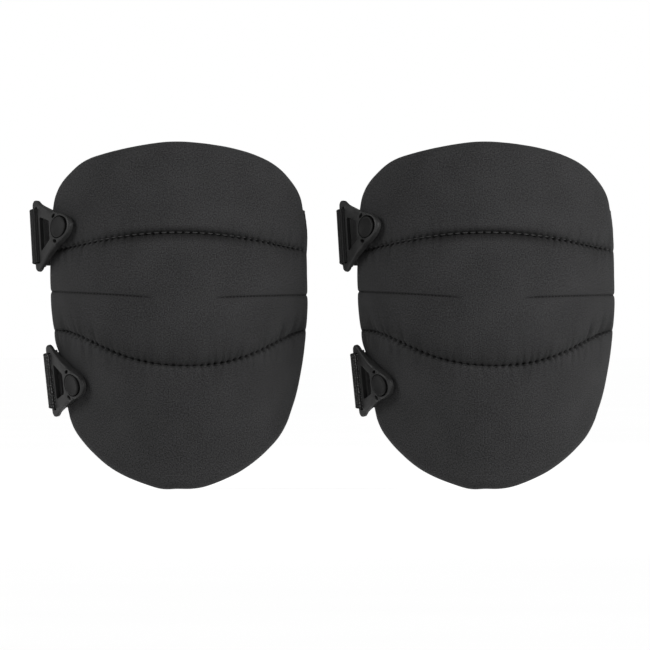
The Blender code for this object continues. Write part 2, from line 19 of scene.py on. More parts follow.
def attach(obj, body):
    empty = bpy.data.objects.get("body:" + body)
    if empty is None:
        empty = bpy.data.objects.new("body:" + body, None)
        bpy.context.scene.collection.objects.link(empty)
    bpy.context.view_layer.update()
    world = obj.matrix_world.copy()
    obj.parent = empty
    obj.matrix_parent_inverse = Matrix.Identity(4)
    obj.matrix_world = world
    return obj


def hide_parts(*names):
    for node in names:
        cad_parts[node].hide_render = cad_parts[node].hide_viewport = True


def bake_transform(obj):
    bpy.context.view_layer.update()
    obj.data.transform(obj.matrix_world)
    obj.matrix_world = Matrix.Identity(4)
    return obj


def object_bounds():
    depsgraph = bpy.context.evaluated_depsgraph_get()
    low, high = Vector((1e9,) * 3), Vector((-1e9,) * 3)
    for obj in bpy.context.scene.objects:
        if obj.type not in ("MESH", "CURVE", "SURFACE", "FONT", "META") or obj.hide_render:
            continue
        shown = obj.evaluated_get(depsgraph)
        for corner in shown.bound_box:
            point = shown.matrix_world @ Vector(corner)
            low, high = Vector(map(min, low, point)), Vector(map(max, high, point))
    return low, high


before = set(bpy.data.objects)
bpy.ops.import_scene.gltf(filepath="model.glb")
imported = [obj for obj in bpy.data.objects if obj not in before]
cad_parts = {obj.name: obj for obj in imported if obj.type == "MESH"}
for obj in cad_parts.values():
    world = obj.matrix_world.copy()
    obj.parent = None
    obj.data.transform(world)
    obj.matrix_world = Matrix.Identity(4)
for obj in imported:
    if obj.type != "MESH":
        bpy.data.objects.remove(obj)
cad_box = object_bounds()

PADS = {"left": 0.0, "right": 0.209}

# The pad: its outline in front view, clockwise, and its thickness.
HALF_THICKNESS = 0.0074
OUTLINE_ROUNDING = 0.0004
OUTLINE = [
    (-0.008, 0.1181), (0.0355, 0.1140), (0.0637, 0.1036), (0.0800, 0.0864),
    (0.0845, 0.0710), (0.0868, 0.0499), (0.0871, 0.0270), (0.0875, 0.0080),
    (0.0860, -0.0159), (0.0828, -0.0382), (0.0777, -0.0600), (0.0684, -0.0818),
    (0.0451, -0.1036), (0.0180, -0.1157), (-0.0010, -0.1173), (-0.0164, -0.1162),
    (-0.0451, -0.1041), (-0.0677, -0.0824), (-0.0756, -0.0649), (-0.0788, -0.0384),
    (-0.0819, -0.0250), (-0.0845, -0.0161), (-0.0869, 0.0050), (-0.0877, 0.0272),
    (-0.0872, 0.0550), (-0.0843, 0.0819), (-0.0737, 0.0977), (-0.0558, 0.1088),
]

# The curve round the knee: the wings sweep back, and the thigh and shin ends lean back from the darts.
WING_DEPTH = 0.110
WING_REACH = 0.092
WING_REACH_CHANGE = 0.009
WING_REACH_OVER = 0.060
STEEPEST_WING = 0.98
DART_HEIGHT = 0.014
LEAN = math.tan(math.radians(15.5))
LEAN_ROUNDING_MIDDLE = 0.040
LEAN_ROUNDING_SIDE = 0.014

# Quilting seams, as polynomials: the height's terms in powers of the share of SEAM_SPAN to the side.
SEAM_SPAN = 0.084
SEAM_SHARE_LIMIT = 1.04
SEAMS = {
    "upper": (0.0569, 0.0, -0.0135, 0.0, 0.0017),
    "lower": (-0.0344, -0.0029, 0.0222, -0.0023, 0.0176, 0.0049, -0.0158),
}
SEAM_ENDS = {"upper": (-0.0840, 0.0845), "lower": (-0.0840, 0.0850)}
STITCH_PITCH = 0.0055
# Darts, which run from a tip to the pad's edge: side, tip across, tip height and height at the edge.
DARTS = {"left": (-1, 0.0165, 0.0120, 0.0166), "right": (1, 0.0245, 0.0122, 0.0143)}
DART_EDGE = 0.087
DART_POWER = 0.7

# Rings of the cover, from the middle outwards: the front takes this share and the rolled edge the rest.
COVER_SQUARES = 72
FRONT_SHARE = 0.86
LINING_SQUARES = 48
LINING_SHARE = 0.955
RING_SPREAD = math.radians(56)
EDGE_ROLL = math.radians(150)
TAPE_FROM_ANGLE = math.radians(127)
TAPE_INNER_SHARE = 0.925
FABRIC = 0.001

# Webbing, clip and button, as in the frame.
WEB_WIDTH = 0.038
WEB_THICKNESS = 0.0016
LAYER_PITCH = 0.0021
CLIP_LOW = 0.0026
CLIP_THICKNESS = 0.0032
CLIP_BAR_REACH = 0.0272
CLIP_HALF_HEIGHT = 0.0245
CLIP_SIDE = [
    (0.0110, 0.0), (0.0103, 0.0027), (0.0089, 0.0051), (0.0061, 0.0074),
    (0.0021, 0.0094), (-0.0025, 0.0112), (-0.0060, 0.0130), (-0.0104, 0.0156),
    (-0.0182, 0.0207),
]
SLOT_MIDDLE = 0.0230
SLOT_HALF_WIDTH = 0.0013
SLOT_HALF_LENGTH = 0.0198
FLEX_SLOT_RADIUS = 0.0097
FLEX_SLOT_ANGLE = 113
FLEX_SLOT_HALF_LENGTH = 0.0021
FLEX_SLOT_HALF_WIDTH = 0.00125
HEAD_RADIUS = 0.0073

# Each strap: its button's place in front view, the clip's roll in degrees, how far its run round the leg
# reaches to each side and back, and where its sewn end starts and stops across the pad.
STRAPS = {
    "upper": {"button": (-0.0717, 0.0588), "roll": 14.0, "sides": (-0.0970, 0.0866), "back": 0.149,
              "sewn": (0.054, 0.0790)},
    "lower": {"button": (-0.0622, -0.0443), "roll": -6.0, "sides": (-0.0860, 0.0652), "back": 0.131,
              "sewn": (0.044, 0.0692)},
}
STRAP_END_RADIUS = 0.034
STRAP_FILLET_RADIUS = 0.024
STRAP_END_BEHIND_BAR = 0.017
TAIL_PAST_MIDDLE = math.radians(11)
ADJUSTER_ANGLE = math.radians(4)
ADJUSTER_LENGTH = 0.026
TAB_LENGTH = 0.016
LINING_LIFT = 0.0006
TAB_GAP = 0.0012
# The number of places along each stretch of a strap's run.
SEWN_PLACES = 5
FILLET_STEPS = 4
CORNER_STEPS = 6
BACK_STEPS = 12


# ---------------------------------------------------------------- the pad's surfaces


def between(a, b, c, d, steps):
    """Places from b up to c on the Catmull-Rom curve through a, b, c and d."""
    square, cube = 2 * a - 5 * b + 4 * c - d, 3 * b - a - 3 * c + d
    return [0.5 * (2 * b + (c - a) * t + square * t**2 + cube * t**3) for t in np.arange(steps) / steps]


def smooth_loop(points, steps=14):
    """A closed Catmull-Rom curve through the points."""
    loop = []
    for i in range(len(points)):
        loop += between(*(np.array(points[(i + k) % len(points)]) for k in (-1, 0, 1, 2)), steps)
    return np.array(loop)


def inset(loop, distance):
    """The clockwise loop moved inwards."""
    along = np.roll(loop, -1, axis=0) - np.roll(loop, 1, axis=0)
    along /= np.linalg.norm(along, axis=1)[:, None]
    return loop + np.asarray(distance)[..., None] * np.stack([along[:, 1], -along[:, 0]], axis=1)


EDGE_LINE = inset(smooth_loop(OUTLINE), HALF_THICKNESS - OUTLINE_ROUNDING)


def reach(angle):
    """Distance from the pad's middle to its edge line, the centre of the rounded edge."""
    angles = np.arctan2(EDGE_LINE[:, 1], EDGE_LINE[:, 0])
    order = np.argsort(angles)
    radii = np.linalg.norm(EDGE_LINE, axis=1)
    return np.interp(angle, angles[order], radii[order], period=2 * math.pi)


def depth(x, z):
    """How far back the pad's middle surface lies at a place in front view."""
    wing_reach = WING_REACH + WING_REACH_CHANGE * np.tanh(z / WING_REACH_OVER)
    side = np.minimum(np.abs(x) / wing_reach, STEEPEST_WING)
    wing = WING_DEPTH * (1 - np.sqrt(1 - side**2))
    share = np.minimum(1.0, np.abs(x) / SEAM_SPAN)
    rounding = LEAN_ROUNDING_MIDDLE + (LEAN_ROUNDING_SIDE - LEAN_ROUNDING_MIDDLE) * share
    lean = LEAN * (np.hypot(z - DART_HEIGHT, rounding) - rounding)
    return wing + lean - HALF_THICKNESS


def unit(vectors):
    return vectors / np.linalg.norm(vectors, axis=-1, keepdims=True)


def facing(x, z):
    """Unit normals of the middle surface, towards the front."""
    step = 1e-5
    slope_x = (depth(x + step, z) - depth(x - step, z)) / (2 * step)
    slope_z = (depth(x, z + step) - depth(x, z - step)) / (2 * step)
    return unit(np.stack([slope_x, -np.ones_like(slope_x), slope_z], axis=-1))


def pad_points(x, z, out=0.0):
    """Points out in front of the middle surface, or behind it where out is negative."""
    x, z = np.broadcast_arrays(np.asarray(x, float), np.asarray(z, float))
    return np.stack([x, depth(x, z), z], axis=-1) + np.asarray(out)[..., None] * facing(x, z)


def pad_point(x, z, out=0.0):
    return Vector(pad_points(x, z, out))


def polar(radius, angle):
    return radius * np.cos(angle), radius * np.sin(angle)


def edge_points(angle, roll, radius):
    """Points round the pad's rounded edge: roll 0 faces forwards and 180 degrees backwards."""
    step = 1e-3
    x, z = polar(reach(angle), angle)
    next_x, next_z = polar(reach(angle + step), angle + step)
    ahead = np.stack([next_x - x, depth(next_x, next_z) - depth(x, z), next_z - z], axis=-1)
    front = facing(x, z)
    outwards = unit(np.cross(ahead, front))
    turned_out = np.cos(roll)[..., None] * front + np.sin(roll)[..., None] * outwards
    return np.stack([x, depth(x, z), z], axis=-1) + np.asarray(radius)[..., None] * turned_out


def seam_height(label, x):
    share = np.clip(x / SEAM_SPAN, -SEAM_SHARE_LIMIT, SEAM_SHARE_LIMIT)
    return sum(term * share**power for power, term in enumerate(SEAMS[label]))


def dart_height(label, x):
    side, tip, tip_height, edge_height = DARTS[label]
    share = np.clip((side * x - tip) / (DART_EDGE - tip), 0, 1)
    return tip_height + (edge_height - tip_height) * share**DART_POWER


def towards_seams(x, z, ring):
    """Heights moved a little towards the seams and the darts, so that the mesh is finer there."""
    moved = z.copy()
    share = 0.55 * (1 - ring**6)
    seam_width, dart_width = 0.011, 0.009
    lines = [(seam_height(label, x), seam_width) for label in SEAMS]
    for line, width in [*lines, (np.full_like(x, DART_HEIGHT), dart_width)]:
        away = z - line
        moved -= share * away * np.exp(-((away / width) ** 2))
    return moved


def disc_grid(squares):
    """A square grid mapped onto a disc: each corner's ring, from 0 to 1, and angle, and the faces."""
    line = np.linspace(-1, 1, squares + 1)
    a, b = np.meshgrid(line, line)
    a, b = a.ravel(), b.ravel()
    ring = np.maximum(np.abs(a), np.abs(b))
    wide = np.abs(a) >= np.abs(b)
    safe_a, safe_b = np.where(a == 0, 1e-9, a), np.where(b == 0, 1e-9, b)
    across = math.pi / 4 * b / safe_a + np.where(a < 0, math.pi, 0)
    upright = math.pi / 2 - math.pi / 4 * a / safe_b + np.where(b < 0, math.pi, 0)
    angle = np.where(wide, across, upright)
    here = (np.arange(squares)[:, None] * (squares + 1) + np.arange(squares)).ravel()
    faces = np.stack([here, here + 1, here + squares + 2, here + squares + 1], axis=1)
    return ring, angle, faces


def spread(ring):
    """The share of the way out at which a ring from 0 to 1 lies: closer together towards the wings."""
    return np.sin(RING_SPREAD * ring) / math.sin(RING_SPREAD)


def cover_points(ring, angle, out):
    """The cover's places: the front is out in front of the middle surface, then it rolls round the edge."""
    share = np.minimum(ring / FRONT_SHARE, 1)
    x, z = polar(reach(angle) * spread(share), angle)
    front = pad_points(x, towards_seams(x, z, share), out)
    roll = EDGE_ROLL * np.clip((ring - FRONT_SHARE) / (1 - FRONT_SHARE), 0, 1)
    edge = edge_points(angle, roll, np.full_like(ring, HALF_THICKNESS))
    return np.where((ring > FRONT_SHARE)[:, None], edge, front)


def lining_points(ring, angle, out):
    x, z = polar(LINING_SHARE * reach(angle) * spread(ring), angle)
    return pad_points(x, towards_seams(x, z, ring), -out)


def distances_out(points_at, ring, angle, steps=24):
    """Each corner's distance from the middle, measured along the fabric."""
    out = np.full_like(ring, HALF_THICKNESS)
    total = np.zeros_like(ring)
    last = points_at(total, angle, out)
    for i in range(1, steps + 1):
        there = points_at(ring * i / steps, angle, out)
        total += np.linalg.norm(there - last, axis=1)
        last = there
    return total


# ---------------------------------------------------------------- meshes and objects


def mesh_of(name, points, faces, uv=None):
    """A smooth-shaded mesh; uv holds one place in metres for each point."""
    mesh = bpy.data.meshes.new(name)
    mesh.from_pydata(np.asarray(points, float).tolist(), [], [tuple(map(int, face)) for face in faces])
    if uv is not None:
        corners = np.zeros(len(mesh.loops), np.int32)
        mesh.loops.foreach_get("vertex_index", corners)
        layer = mesh.uv_layers.new(name="weave")
        layer.data.foreach_set("uv", np.asarray(uv, np.float32)[corners].ravel())
    mesh.shade_smooth()
    return mesh


def coordinates(mesh):
    flat = np.zeros(len(mesh.vertices) * 3)
    mesh.vertices.foreach_get("co", flat)
    return flat.reshape(-1, 3)


def set_coordinates(mesh, points):
    mesh.vertices.foreach_set("co", np.asarray(points, np.float32).ravel())
    mesh.update()


def normals(mesh):
    flat = np.zeros(len(mesh.vertices) * 3)
    mesh.vertex_normals.foreach_get("vector", flat)
    return flat.reshape(-1, 3)


def holder_of(mesh):
    """A throwaway object that evaluates a mesh with modifiers."""
    made = bpy.data.objects.new("holder", mesh)
    bpy.context.scene.collection.objects.link(made)
    return made


def evaluated(holder, name):
    """The holder's mesh with its modifiers applied; the holder is removed."""
    graph = bpy.context.evaluated_depsgraph_get()
    mesh = bpy.data.meshes.new_from_object(holder.evaluated_get(graph))
    mesh.name = name
    bpy.data.objects.remove(holder)
    return mesh


def subdivided(mesh, levels):
    holder = holder_of(mesh)
    modifier = holder.modifiers.new("smooth", "SUBSURF")
    modifier.levels = modifier.render_levels = levels
    result = evaluated(holder, mesh.name)
    result.shade_smooth()
    return result


def piece(name, mesh, material, x=0.0, matrix=None):
    """Links a mesh as one piece of the pad whose middle is at x."""
    made = bpy.data.objects.new(name, mesh)
    if not mesh.materials:
        mesh.materials.append(material)
    bpy.context.scene.collection.objects.link(made)
    made.matrix_world = Matrix.Translation((x, 0, 0)) @ (matrix or Matrix.Identity(4))
    return made


def sharp(mesh, degrees):
    mesh.shade_smooth()
    mesh.set_sharp_from_angle(angle=math.radians(degrees))
    return mesh


def closed(mesh, merged=0.0):
    """The mesh with its faces turned outwards and points within that distance made one."""
    solid = bmesh.new()
    solid.from_mesh(mesh)
    if merged:
        bmesh.ops.remove_doubles(solid, verts=solid.verts, dist=merged)
    bmesh.ops.recalc_face_normals(solid, faces=solid.faces)
    solid.to_mesh(mesh)
    solid.free()
    return mesh


def tube_faces(rows, around, first=0):
    """The faces between rows of points that each close on themselves."""
    faces = []
    for i in range(rows - 1):
        here, there = first + i * around, first + (i + 1) * around
        for k in range(around):
            after = (k + 1) % around
            faces.append((here + k, here + after, there + after, there + k))
    return faces


def lengths_along(points):
    """The distance along a line of points from its start to each."""
    return np.concatenate([[0], np.cumsum(np.linalg.norm(np.diff(points, axis=0), axis=1))])


def finished(name, solid):
    """The bmesh as a mesh."""
    mesh = bpy.data.meshes.new(name)
    solid.to_mesh(mesh)
    solid.free()
    return mesh


def joined(name, meshes):
    """Several meshes as one."""
    solid = bmesh.new()
    for mesh in meshes:
        solid.from_mesh(mesh)
    made = finished(name, solid)
    made.shade_smooth()
    return made


# ---------------------------------------------------------------- materials


class Nodes:
    """Makes and links the nodes of one tree."""

    def __init__(self, tree):
        self.tree = tree
        self.places = tree.nodes.new("ShaderNodeTexCoord").outputs

    def link(self, output, socket):
        self.tree.links.new(output, socket)

    def node(self, kind, vector=None, **values):
        made = self.tree.nodes.new(kind)
        for key, value in values.items():
            if key in made.inputs:
                made.inputs[key].default_value = value
            else:
                setattr(made, key, value)
        if vector:
            self.link(self.places[vector], made.inputs["Vector"])
        return made

    def math(self, operation, first, second=None):
        made = self.node("ShaderNodeMath", operation=operation)
        for socket, value in zip(made.inputs, (first, second)):
            if isinstance(value, (int, float)):
                socket.default_value = value
            elif value is not None:
                self.link(value, socket)
        return made.outputs[0]

    def ramp(self, factor, *stops):
        """A colour ramp between two stops, each a place and a grey or a colour."""
        made = self.node("ShaderNodeValToRGB")
        for element, (position, tone) in zip(made.color_ramp.elements, stops, strict=True):
            element.position = position
            element.color = (*tone, 1) if isinstance(tone, tuple) else (tone, tone, tone, 1)
        self.link(factor, made.inputs[0])
        return made

    def scaled(self, vector, scale):
        made = self.node("ShaderNodeVectorMath", operation="SCALE")
        self.link(vector, made.inputs[0])
        self.link(scale, made.inputs["Scale"])
        return made.outputs[0]


class Surface(Nodes):
    """A procedural material. Its patterns lie on the UVs, in metres, or in the object's space."""

    def __init__(self, name, roughness, specular=0.5, sheen=0.0, metallic=0.0):
        self.material = bpy.data.materials.new(name)
        self.material.use_nodes = True
        super().__init__(self.material.node_tree)
        self.inputs = self.tree.nodes["Principled BSDF"].inputs
        self.inputs["Roughness"].default_value = roughness
        self.inputs["Specular IOR Level"].default_value = specular
        self.inputs["Metallic"].default_value = metallic
        self.inputs["Sheen Weight"].default_value = sheen
        self.inputs["Sheen Roughness"].default_value = 0.5

    def mixed(self, first, first_share, second, second_share):
        first, second = self.math("MULTIPLY", first, first_share), self.math("MULTIPLY", second, second_share)
        return self.math("ADD", first, second)

    def noise(self, scale, detail=2.0, space="UV"):
        return self.node("ShaderNodeTexNoise", space, Scale=scale, Detail=detail).outputs["Fac"]

    def bands(self, direction, pitch, distortion):
        """Waves of that pitch in metres along X or Y of the UVs."""
        values = {"Scale": math.pi / 10 / pitch, "Distortion": distortion, "Detail": 1.0}
        return self.node("ShaderNodeTexWave", "UV", bands_direction=direction, **values).outputs["Fac"]

    def cells(self, scale, randomness):
        return self.node("ShaderNodeTexVoronoi", "UV", Scale=scale, Randomness=randomness).outputs["Distance"]

    def colour(self, factor, dark, light, low=0.3, high=0.7):
        """The base colour runs from dark to light as factor goes from low to high."""
        made = self.ramp(factor, (low, dark), (high, light))
        self.link(made.outputs[0], self.inputs["Base Color"])
        return made.color_ramp

    def bump(self, height, distance, strength=1.0):
        made = self.node("ShaderNodeBump", Strength=strength, Distance=distance)
        self.link(height, made.inputs["Height"])
        self.link(made.outputs[0], self.inputs["Normal"])

    def shade_by_attribute(self):
        """Darkens the base colour by the shade painted into the mesh, from 0 to 1; below 0 it lightens it, a
        painted highlight.
        """
        attribute = self.node("ShaderNodeAttribute", attribute_name="shade")
        kept = self.math("SUBTRACT", 1.0, attribute.outputs["Fac"])
        base = self.inputs["Base Color"]
        self.link(self.scaled(base.links[0].from_socket, kept), base)


def nylon():
    """Matt black plain-woven nylon with a fine uneven grain."""
    made = Surface("woven_nylon", 0.85, 0.12, sheen=0.02)
    grain = made.noise(1200.0, 3.0)
    patches = made.noise(38.0, 3.0, "Object")
    threads = made.math("MAXIMUM", made.bands("X", 0.0009, 0.6), made.bands("Y", 0.0009, 0.6))
    tone = made.mixed(grain, 0.86, patches, 0.14)
    made.colour(tone, (0.0060, 0.0060, 0.0062), (0.0252, 0.0252, 0.0257), 0.36, 0.64)
    # Painted shade and highlights of the quilting, from the mesh's shade attribute.
    made.shade_by_attribute()
    made.bump(made.mixed(threads, 0.5, grain, 0.8), 0.00022, 0.8)
    return made.material


def knit():
    """Black spacer knit: a fine net of loops."""
    made = Surface("spacer_knit", 0.92, 0.25, sheen=0.15)
    holes = made.cells(420.0, 0.25)
    made.colour(holes, (0.030, 0.030, 0.031), (0.012, 0.012, 0.013), 0.25, 0.65)
    made.bump(made.math("MULTIPLY", holes, -1.0), 0.0006)
    return made.material


def tape():
    """Black grosgrain tape, ribbed across its width."""
    made = Surface("binding_tape", 0.8, 0.15, sheen=0.04)
    tone = made.mixed(made.bands("X", 0.0011, 0.4), 0.5, made.noise(1500.0), 0.5)
    made.colour(tone, (0.012, 0.012, 0.013), (0.026, 0.026, 0.027))
    made.bump(tone, 0.0003)
    return made.material


def webbing(name, dark, light, flecks=None):
    """Black knitted elastic with fine ribs, and pale rubber flecks near the distance flecks along it."""
    made = Surface(name, 0.85, 0.12, sheen=0.03)
    ribs, wales = made.bands("Y", 0.0013, 0.8), made.bands("X", 0.0010, 0.8)
    height = made.math("MULTIPLY", ribs, made.math("ADD", made.math("MULTIPLY", wales, 0.4), 0.6))
    tone = made.mixed(height, 0.40, made.noise(1300.0), 0.60)
    if flecks:
        small = made.math("LESS_THAN", made.cells(950.0, 0.35), 0.26)
        split = made.node("ShaderNodeSeparateXYZ", "UV")
        away = made.math("ABSOLUTE", made.math("SUBTRACT", split.outputs[1], flecks))
        stretched = made.math("LESS_THAN", away, FLECKS_REACH)
        shown = made.math("MULTIPLY", small, stretched)
        tone = made.math("ADD", tone, made.math("MULTIPLY", shown, 0.38))
    ramp = made.colour(tone, dark, light, 0.38, 0.70)
    if flecks:
        ramp.elements.new(0.95).color = (0.14, 0.14, 0.14, 1)
    made.bump(tone, 0.0003)
    return made.material


def moulded_plastic(name, tone, roughness, specular):
    """Black moulded nylon with a fine spark-eroded texture and slight scuffs."""
    made = Surface(name, roughness, specular)
    scuffs = made.noise(160.0, 5.0, "Object")
    made.colour(scuffs, tone * 0.82, tone * 1.22)
    rough = made.math("ADD", made.math("MULTIPLY", scuffs, 0.16), roughness - 0.08)
    made.link(rough, made.inputs["Roughness"])
    made.bump(made.noise(2400.0, 2.0, "Object"), 0.00006, 0.5)
    return made.material


def thread(tone):
    """Bonded polyester thread with a twist."""
    made = Surface("sewing_thread", 0.5, 0.25)
    twist = made.noise(2600.0, 2.0, "Object")
    made.colour(twist, tone * 0.6, tone * 1.3)
    made.bump(twist, 0.0001)
    return made.material


def steel():
    """Plated steel for the washers, which the cover hides."""
    made = Surface("washer_steel", 0.35, metallic=1.0)
    grain = made.noise(300.0, 3.0, "Object")
    made.colour(grain, 0.40, 0.50)
    made.bump(grain, 0.0002, 0.4)
    return made.material


# The lower strap's rubber shows as flecks this far to each side of the middle of its turn round the bar.
FLECKS_REACH = 0.0055
TURN_MIDDLE = 0.0372

NYLON = nylon()
KNIT = knit()
TAPE = tape()
WEBBING = webbing("knitted_elastic", 0.004, 0.024)
# Darker copies of the elastic for each strap's end round the clip's bar: painted shade, where the webbing
# turns under the clip.
SHADED_WEBBING = {
    "upper": webbing("shaded_elastic", 0.003, 0.018),
    "lower": webbing("shaded_flecked_elastic", 0.003, 0.018, flecks=TURN_MIDDLE),
}
PLASTIC = moulded_plastic("moulded_plastic", 0.013, 0.46, 0.17)
STUD_PLASTIC = moulded_plastic("stud_plastic", 0.009, 0.55, 0.09)
# The seams' thread as lit on the upper seam, and a darker copy, painted shade, for the lower seam under the
# knee's bulge, the darts' creases and the back.
THREAD = thread(0.020)
SHADED_THREAD = thread(0.005)
STEEL = steel()


# ---------------------------------------------------------------- quilting

# Along a seam the knee pocket rolls in slowly and its neighbour steeply; the stitches sit in a groove.
ROLL_DEPTH = 0.0019
KNEE_ROLL = 0.0044
OUTER_ROLL = 0.0013
GROOVE_DEPTH = 0.0009
GROOVE_WIDTH = 0.0009
# The stitches pull folds into the fabric, stronger and narrower on the wings, and press pits and strokes.
# FOLD_SHADE, PIT_SHADE and STROKE_SHADE are painted shade: how much they darken the colour there.
FOLD_DEPTH = 0.00085
FOLD_SHADE = 0.36
FOLD_MIDDLE = {"upper": 0.20, "lower": 0.55}
FOLD_WING = 0.80
FOLD_STRENGTHS = (0.45, 1.0)
FOLD_LENGTHS = (0.0040, 0.0105)
FOLD_SLANTS = (-0.20, 0.20)
FOLD_WIDTHS = (0.8, 1.3)
FOLD_WIDTH = 0.0012
PIT_DEPTH = 0.0009
PIT_WIDTH = 0.0009
PIT_SHADE = 0.45
STROKE_DEPTH = 0.0007
STROKE_WIDTH = 0.0010
STROKE_LENGTH = 0.0030
STROKE_LEAN = 0.45
STROKE_SHADE = 0.75
STROKE_OUTSIDE = {"upper": 1.0, "lower": 0.0}
# Near the sides of the pad the relief fades, from this distance to the side and over this one.
EDGE_FADES_FROM = 0.0770
EDGE_FADES_OVER = 0.0070
EDGE_FADED = 0.65
SEAM_END_FADE = 0.006


def needle_places(label):
    """Places across the pad where the needle went through the cover, a stitch apart along the fabric."""
    x = np.linspace(*SEAM_ENDS[label], 900)
    along = lengths_along(pad_points(x, seam_height(label, x), HALF_THICKNESS))
    count = int(along[-1] / STITCH_PITCH)
    return np.interp((np.arange(count + 1)) * along[-1] / count, along, x)


def fading(distance, length, power):
    """1 at no distance, falling to 0 at the length."""
    return np.clip(1 - distance / length, 0, 1) ** power


class Seam:
    """The groove along one seam and the folds that its stitches pull into the fabric, with painted shade in
    them and painted highlights between the folds on the wings.
    """

    def __init__(self, label, seed):
        chance = random.Random(seed)
        self.label = label
        self.knee_side = -1 if label == "upper" else 1
        self.folds = []
        for x in needle_places(label):
            wing = min(1.0, abs(x) / 0.062)
            for side in (-1, 1):
                strength = chance.uniform(*FOLD_STRENGTHS) * (FOLD_MIDDLE[label] + FOLD_WING * wing)
                length = chance.uniform(*FOLD_LENGTHS)
                slant = chance.uniform(*FOLD_SLANTS) + 0.10 * side * x / 0.08
                self.folds.append((x, side, strength, length, slant, chance.uniform(*FOLD_WIDTHS)))

    def shades(self, distance, wing):
        """The painted shade on the knee's side of the seam and on the other side: how much darker the cover
        is painted there. Past the lower seam on the shin's side it turns into a faint painted highlight.
        """
        if self.label == "upper":
            knee = (0.84 - 0.54 * wing) * fading(distance, 0.0072, 1.1)
            return knee, (0.92 - 0.62 * wing) * fading(distance, 0.0056, 1.3)
        knee = 0.34 * np.exp(-distance / 0.0085) + 0.06 * np.exp(-distance / 0.0012)
        return knee, 0.20 * np.exp(-distance / 0.0008) - 0.06 * fading(distance, 0.0100, 0.7)

    def stitched_in(self, x, away):
        """How strongly the folds, pits and strokes of the stitches show at places near the seam."""
        folded, pitted, struck = np.zeros(len(x)), np.zeros(len(x)), np.zeros(len(x))
        for place, side, strength, length, slant, wide in self.folds:
            at = np.abs(x - place) < 0.012
            t = away[at] * side
            out = np.maximum(t, 0)
            across = x[at] - place - slant * t
            squeeze = 1 / (1 + 0.35 * (abs(place) / 0.07) ** 2)
            width = FOLD_WIDTH * wide * squeeze * (1 + out / 0.014)
            shape = np.exp(-((across / width) ** 2)) * np.exp(-((out / length) ** 1.6))
            folded[at] += strength * shape * (t > -0.0006)
            pitted[at] += 0.5 * np.exp(-((x[at] - place) ** 2 + t**2) / PIT_WIDTH**2)
            leaning = x[at] - place + math.copysign(STROKE_LEAN, place) * away[at]
            stroke = np.exp(-((leaning / (STROKE_WIDTH * squeeze)) ** 2))
            stroke = stroke * np.exp(-((t / STROKE_LENGTH) ** 2))
            on_knee = 1.0 if side == self.knee_side else STROKE_OUTSIDE[self.label]
            struck[at] += 0.5 * on_knee * strength * stroke
        return folded, pitted, struck

    def pressed(self, x, z):
        """Metres out of the surface, and the painted shade, how much darker the cover is painted (below 0 a
        painted highlight), at places in front view.
        """
        away = z - seam_height(self.label, x)
        low, high = SEAM_ENDS[self.label]
        fade = SEAM_END_FADE
        ends = np.clip((x - low + fade) / fade, 0, 1) * np.clip((high + fade - x) / fade, 0, 1)
        knee = away * self.knee_side > 0
        distance = np.abs(away)
        wing = np.clip((np.abs(x) - 0.030) / 0.030, 0, 1)
        roll = np.where(knee, np.exp(-distance / KNEE_ROLL), np.exp(-distance / OUTER_ROLL))
        relief = -ROLL_DEPTH * roll - GROOVE_DEPTH * np.exp(-distance / GROOVE_WIDTH)
        shade = np.where(knee, *self.shades(distance, wing))
        near = np.flatnonzero(distance < 0.026)
        folded, pitted, struck = self.stitched_in(x[near], away[near])
        share = np.clip(0.25 + wing[near], 0, 1)
        relief[near] -= FOLD_DEPTH * folded + PIT_DEPTH * pitted + STROKE_DEPTH * share * struck
        shade[near] += FOLD_SHADE * folded + PIT_SHADE * pitted + STROKE_SHADE * share * struck
        # Painted highlight near the seam on the wings, which shows on the ridges between the darker folds and
        # strokes.
        shade[near] -= 0.30 * wing[near] * fading(np.abs(away[near]), 0.006, 1.0)
        edge = np.clip((np.abs(x) - EDGE_FADES_FROM) / EDGE_FADES_OVER, 0, 1)
        return relief * ends * (1 - EDGE_FADED * edge), shade * ends


SEAM_LINES = [Seam("upper", 11), Seam("lower", 23)]


def darts_pressed(x, z):
    """Two sewn creases that run in from the sides: metres out of the surface, and the painted shade that
    darkens each crease.
    """
    crease, crease_width, dip, dip_width = 0.0010, 0.0006, 0.0004, 0.0035
    relief, shade = np.zeros_like(x), np.zeros_like(x)
    for label, (side, tip, _, _) in DARTS.items():
        away = np.abs(z - dart_height(label, x))
        fade = np.clip((side * x - tip) / 0.010, 0, 1) ** DART_POWER
        relief -= fade * (crease * np.exp(-away / crease_width) + dip * np.exp(-away / dip_width))
        # Painted shade: a thin dark line along the crease and a faint wider darkening beside it.
        shade += fade * (0.85 * np.exp(-((away / 0.00050) ** 2)) + 0.08 * np.exp(-away / 0.003))
    return relief, shade


# Metres, scale and seed of the lumps in the padding.
UNEVENNESS = ((0.00022, 34.0, 3.1), (0.00010, 90.0, 7.7))
BACK_RELIEF = 0.5
# How far the painted shade may lighten the cover, as a painted highlight, and darken it.
SHADE_LIMITS = (-0.3, 0.93)


def unevenness(points, scale, seed):
    """Soft lumps in the padding, from -1 to 1."""
    offset = Vector((seed, -seed, 2 * seed))
    return np.array([noise.noise(Vector(p) * scale + offset) for p in points])


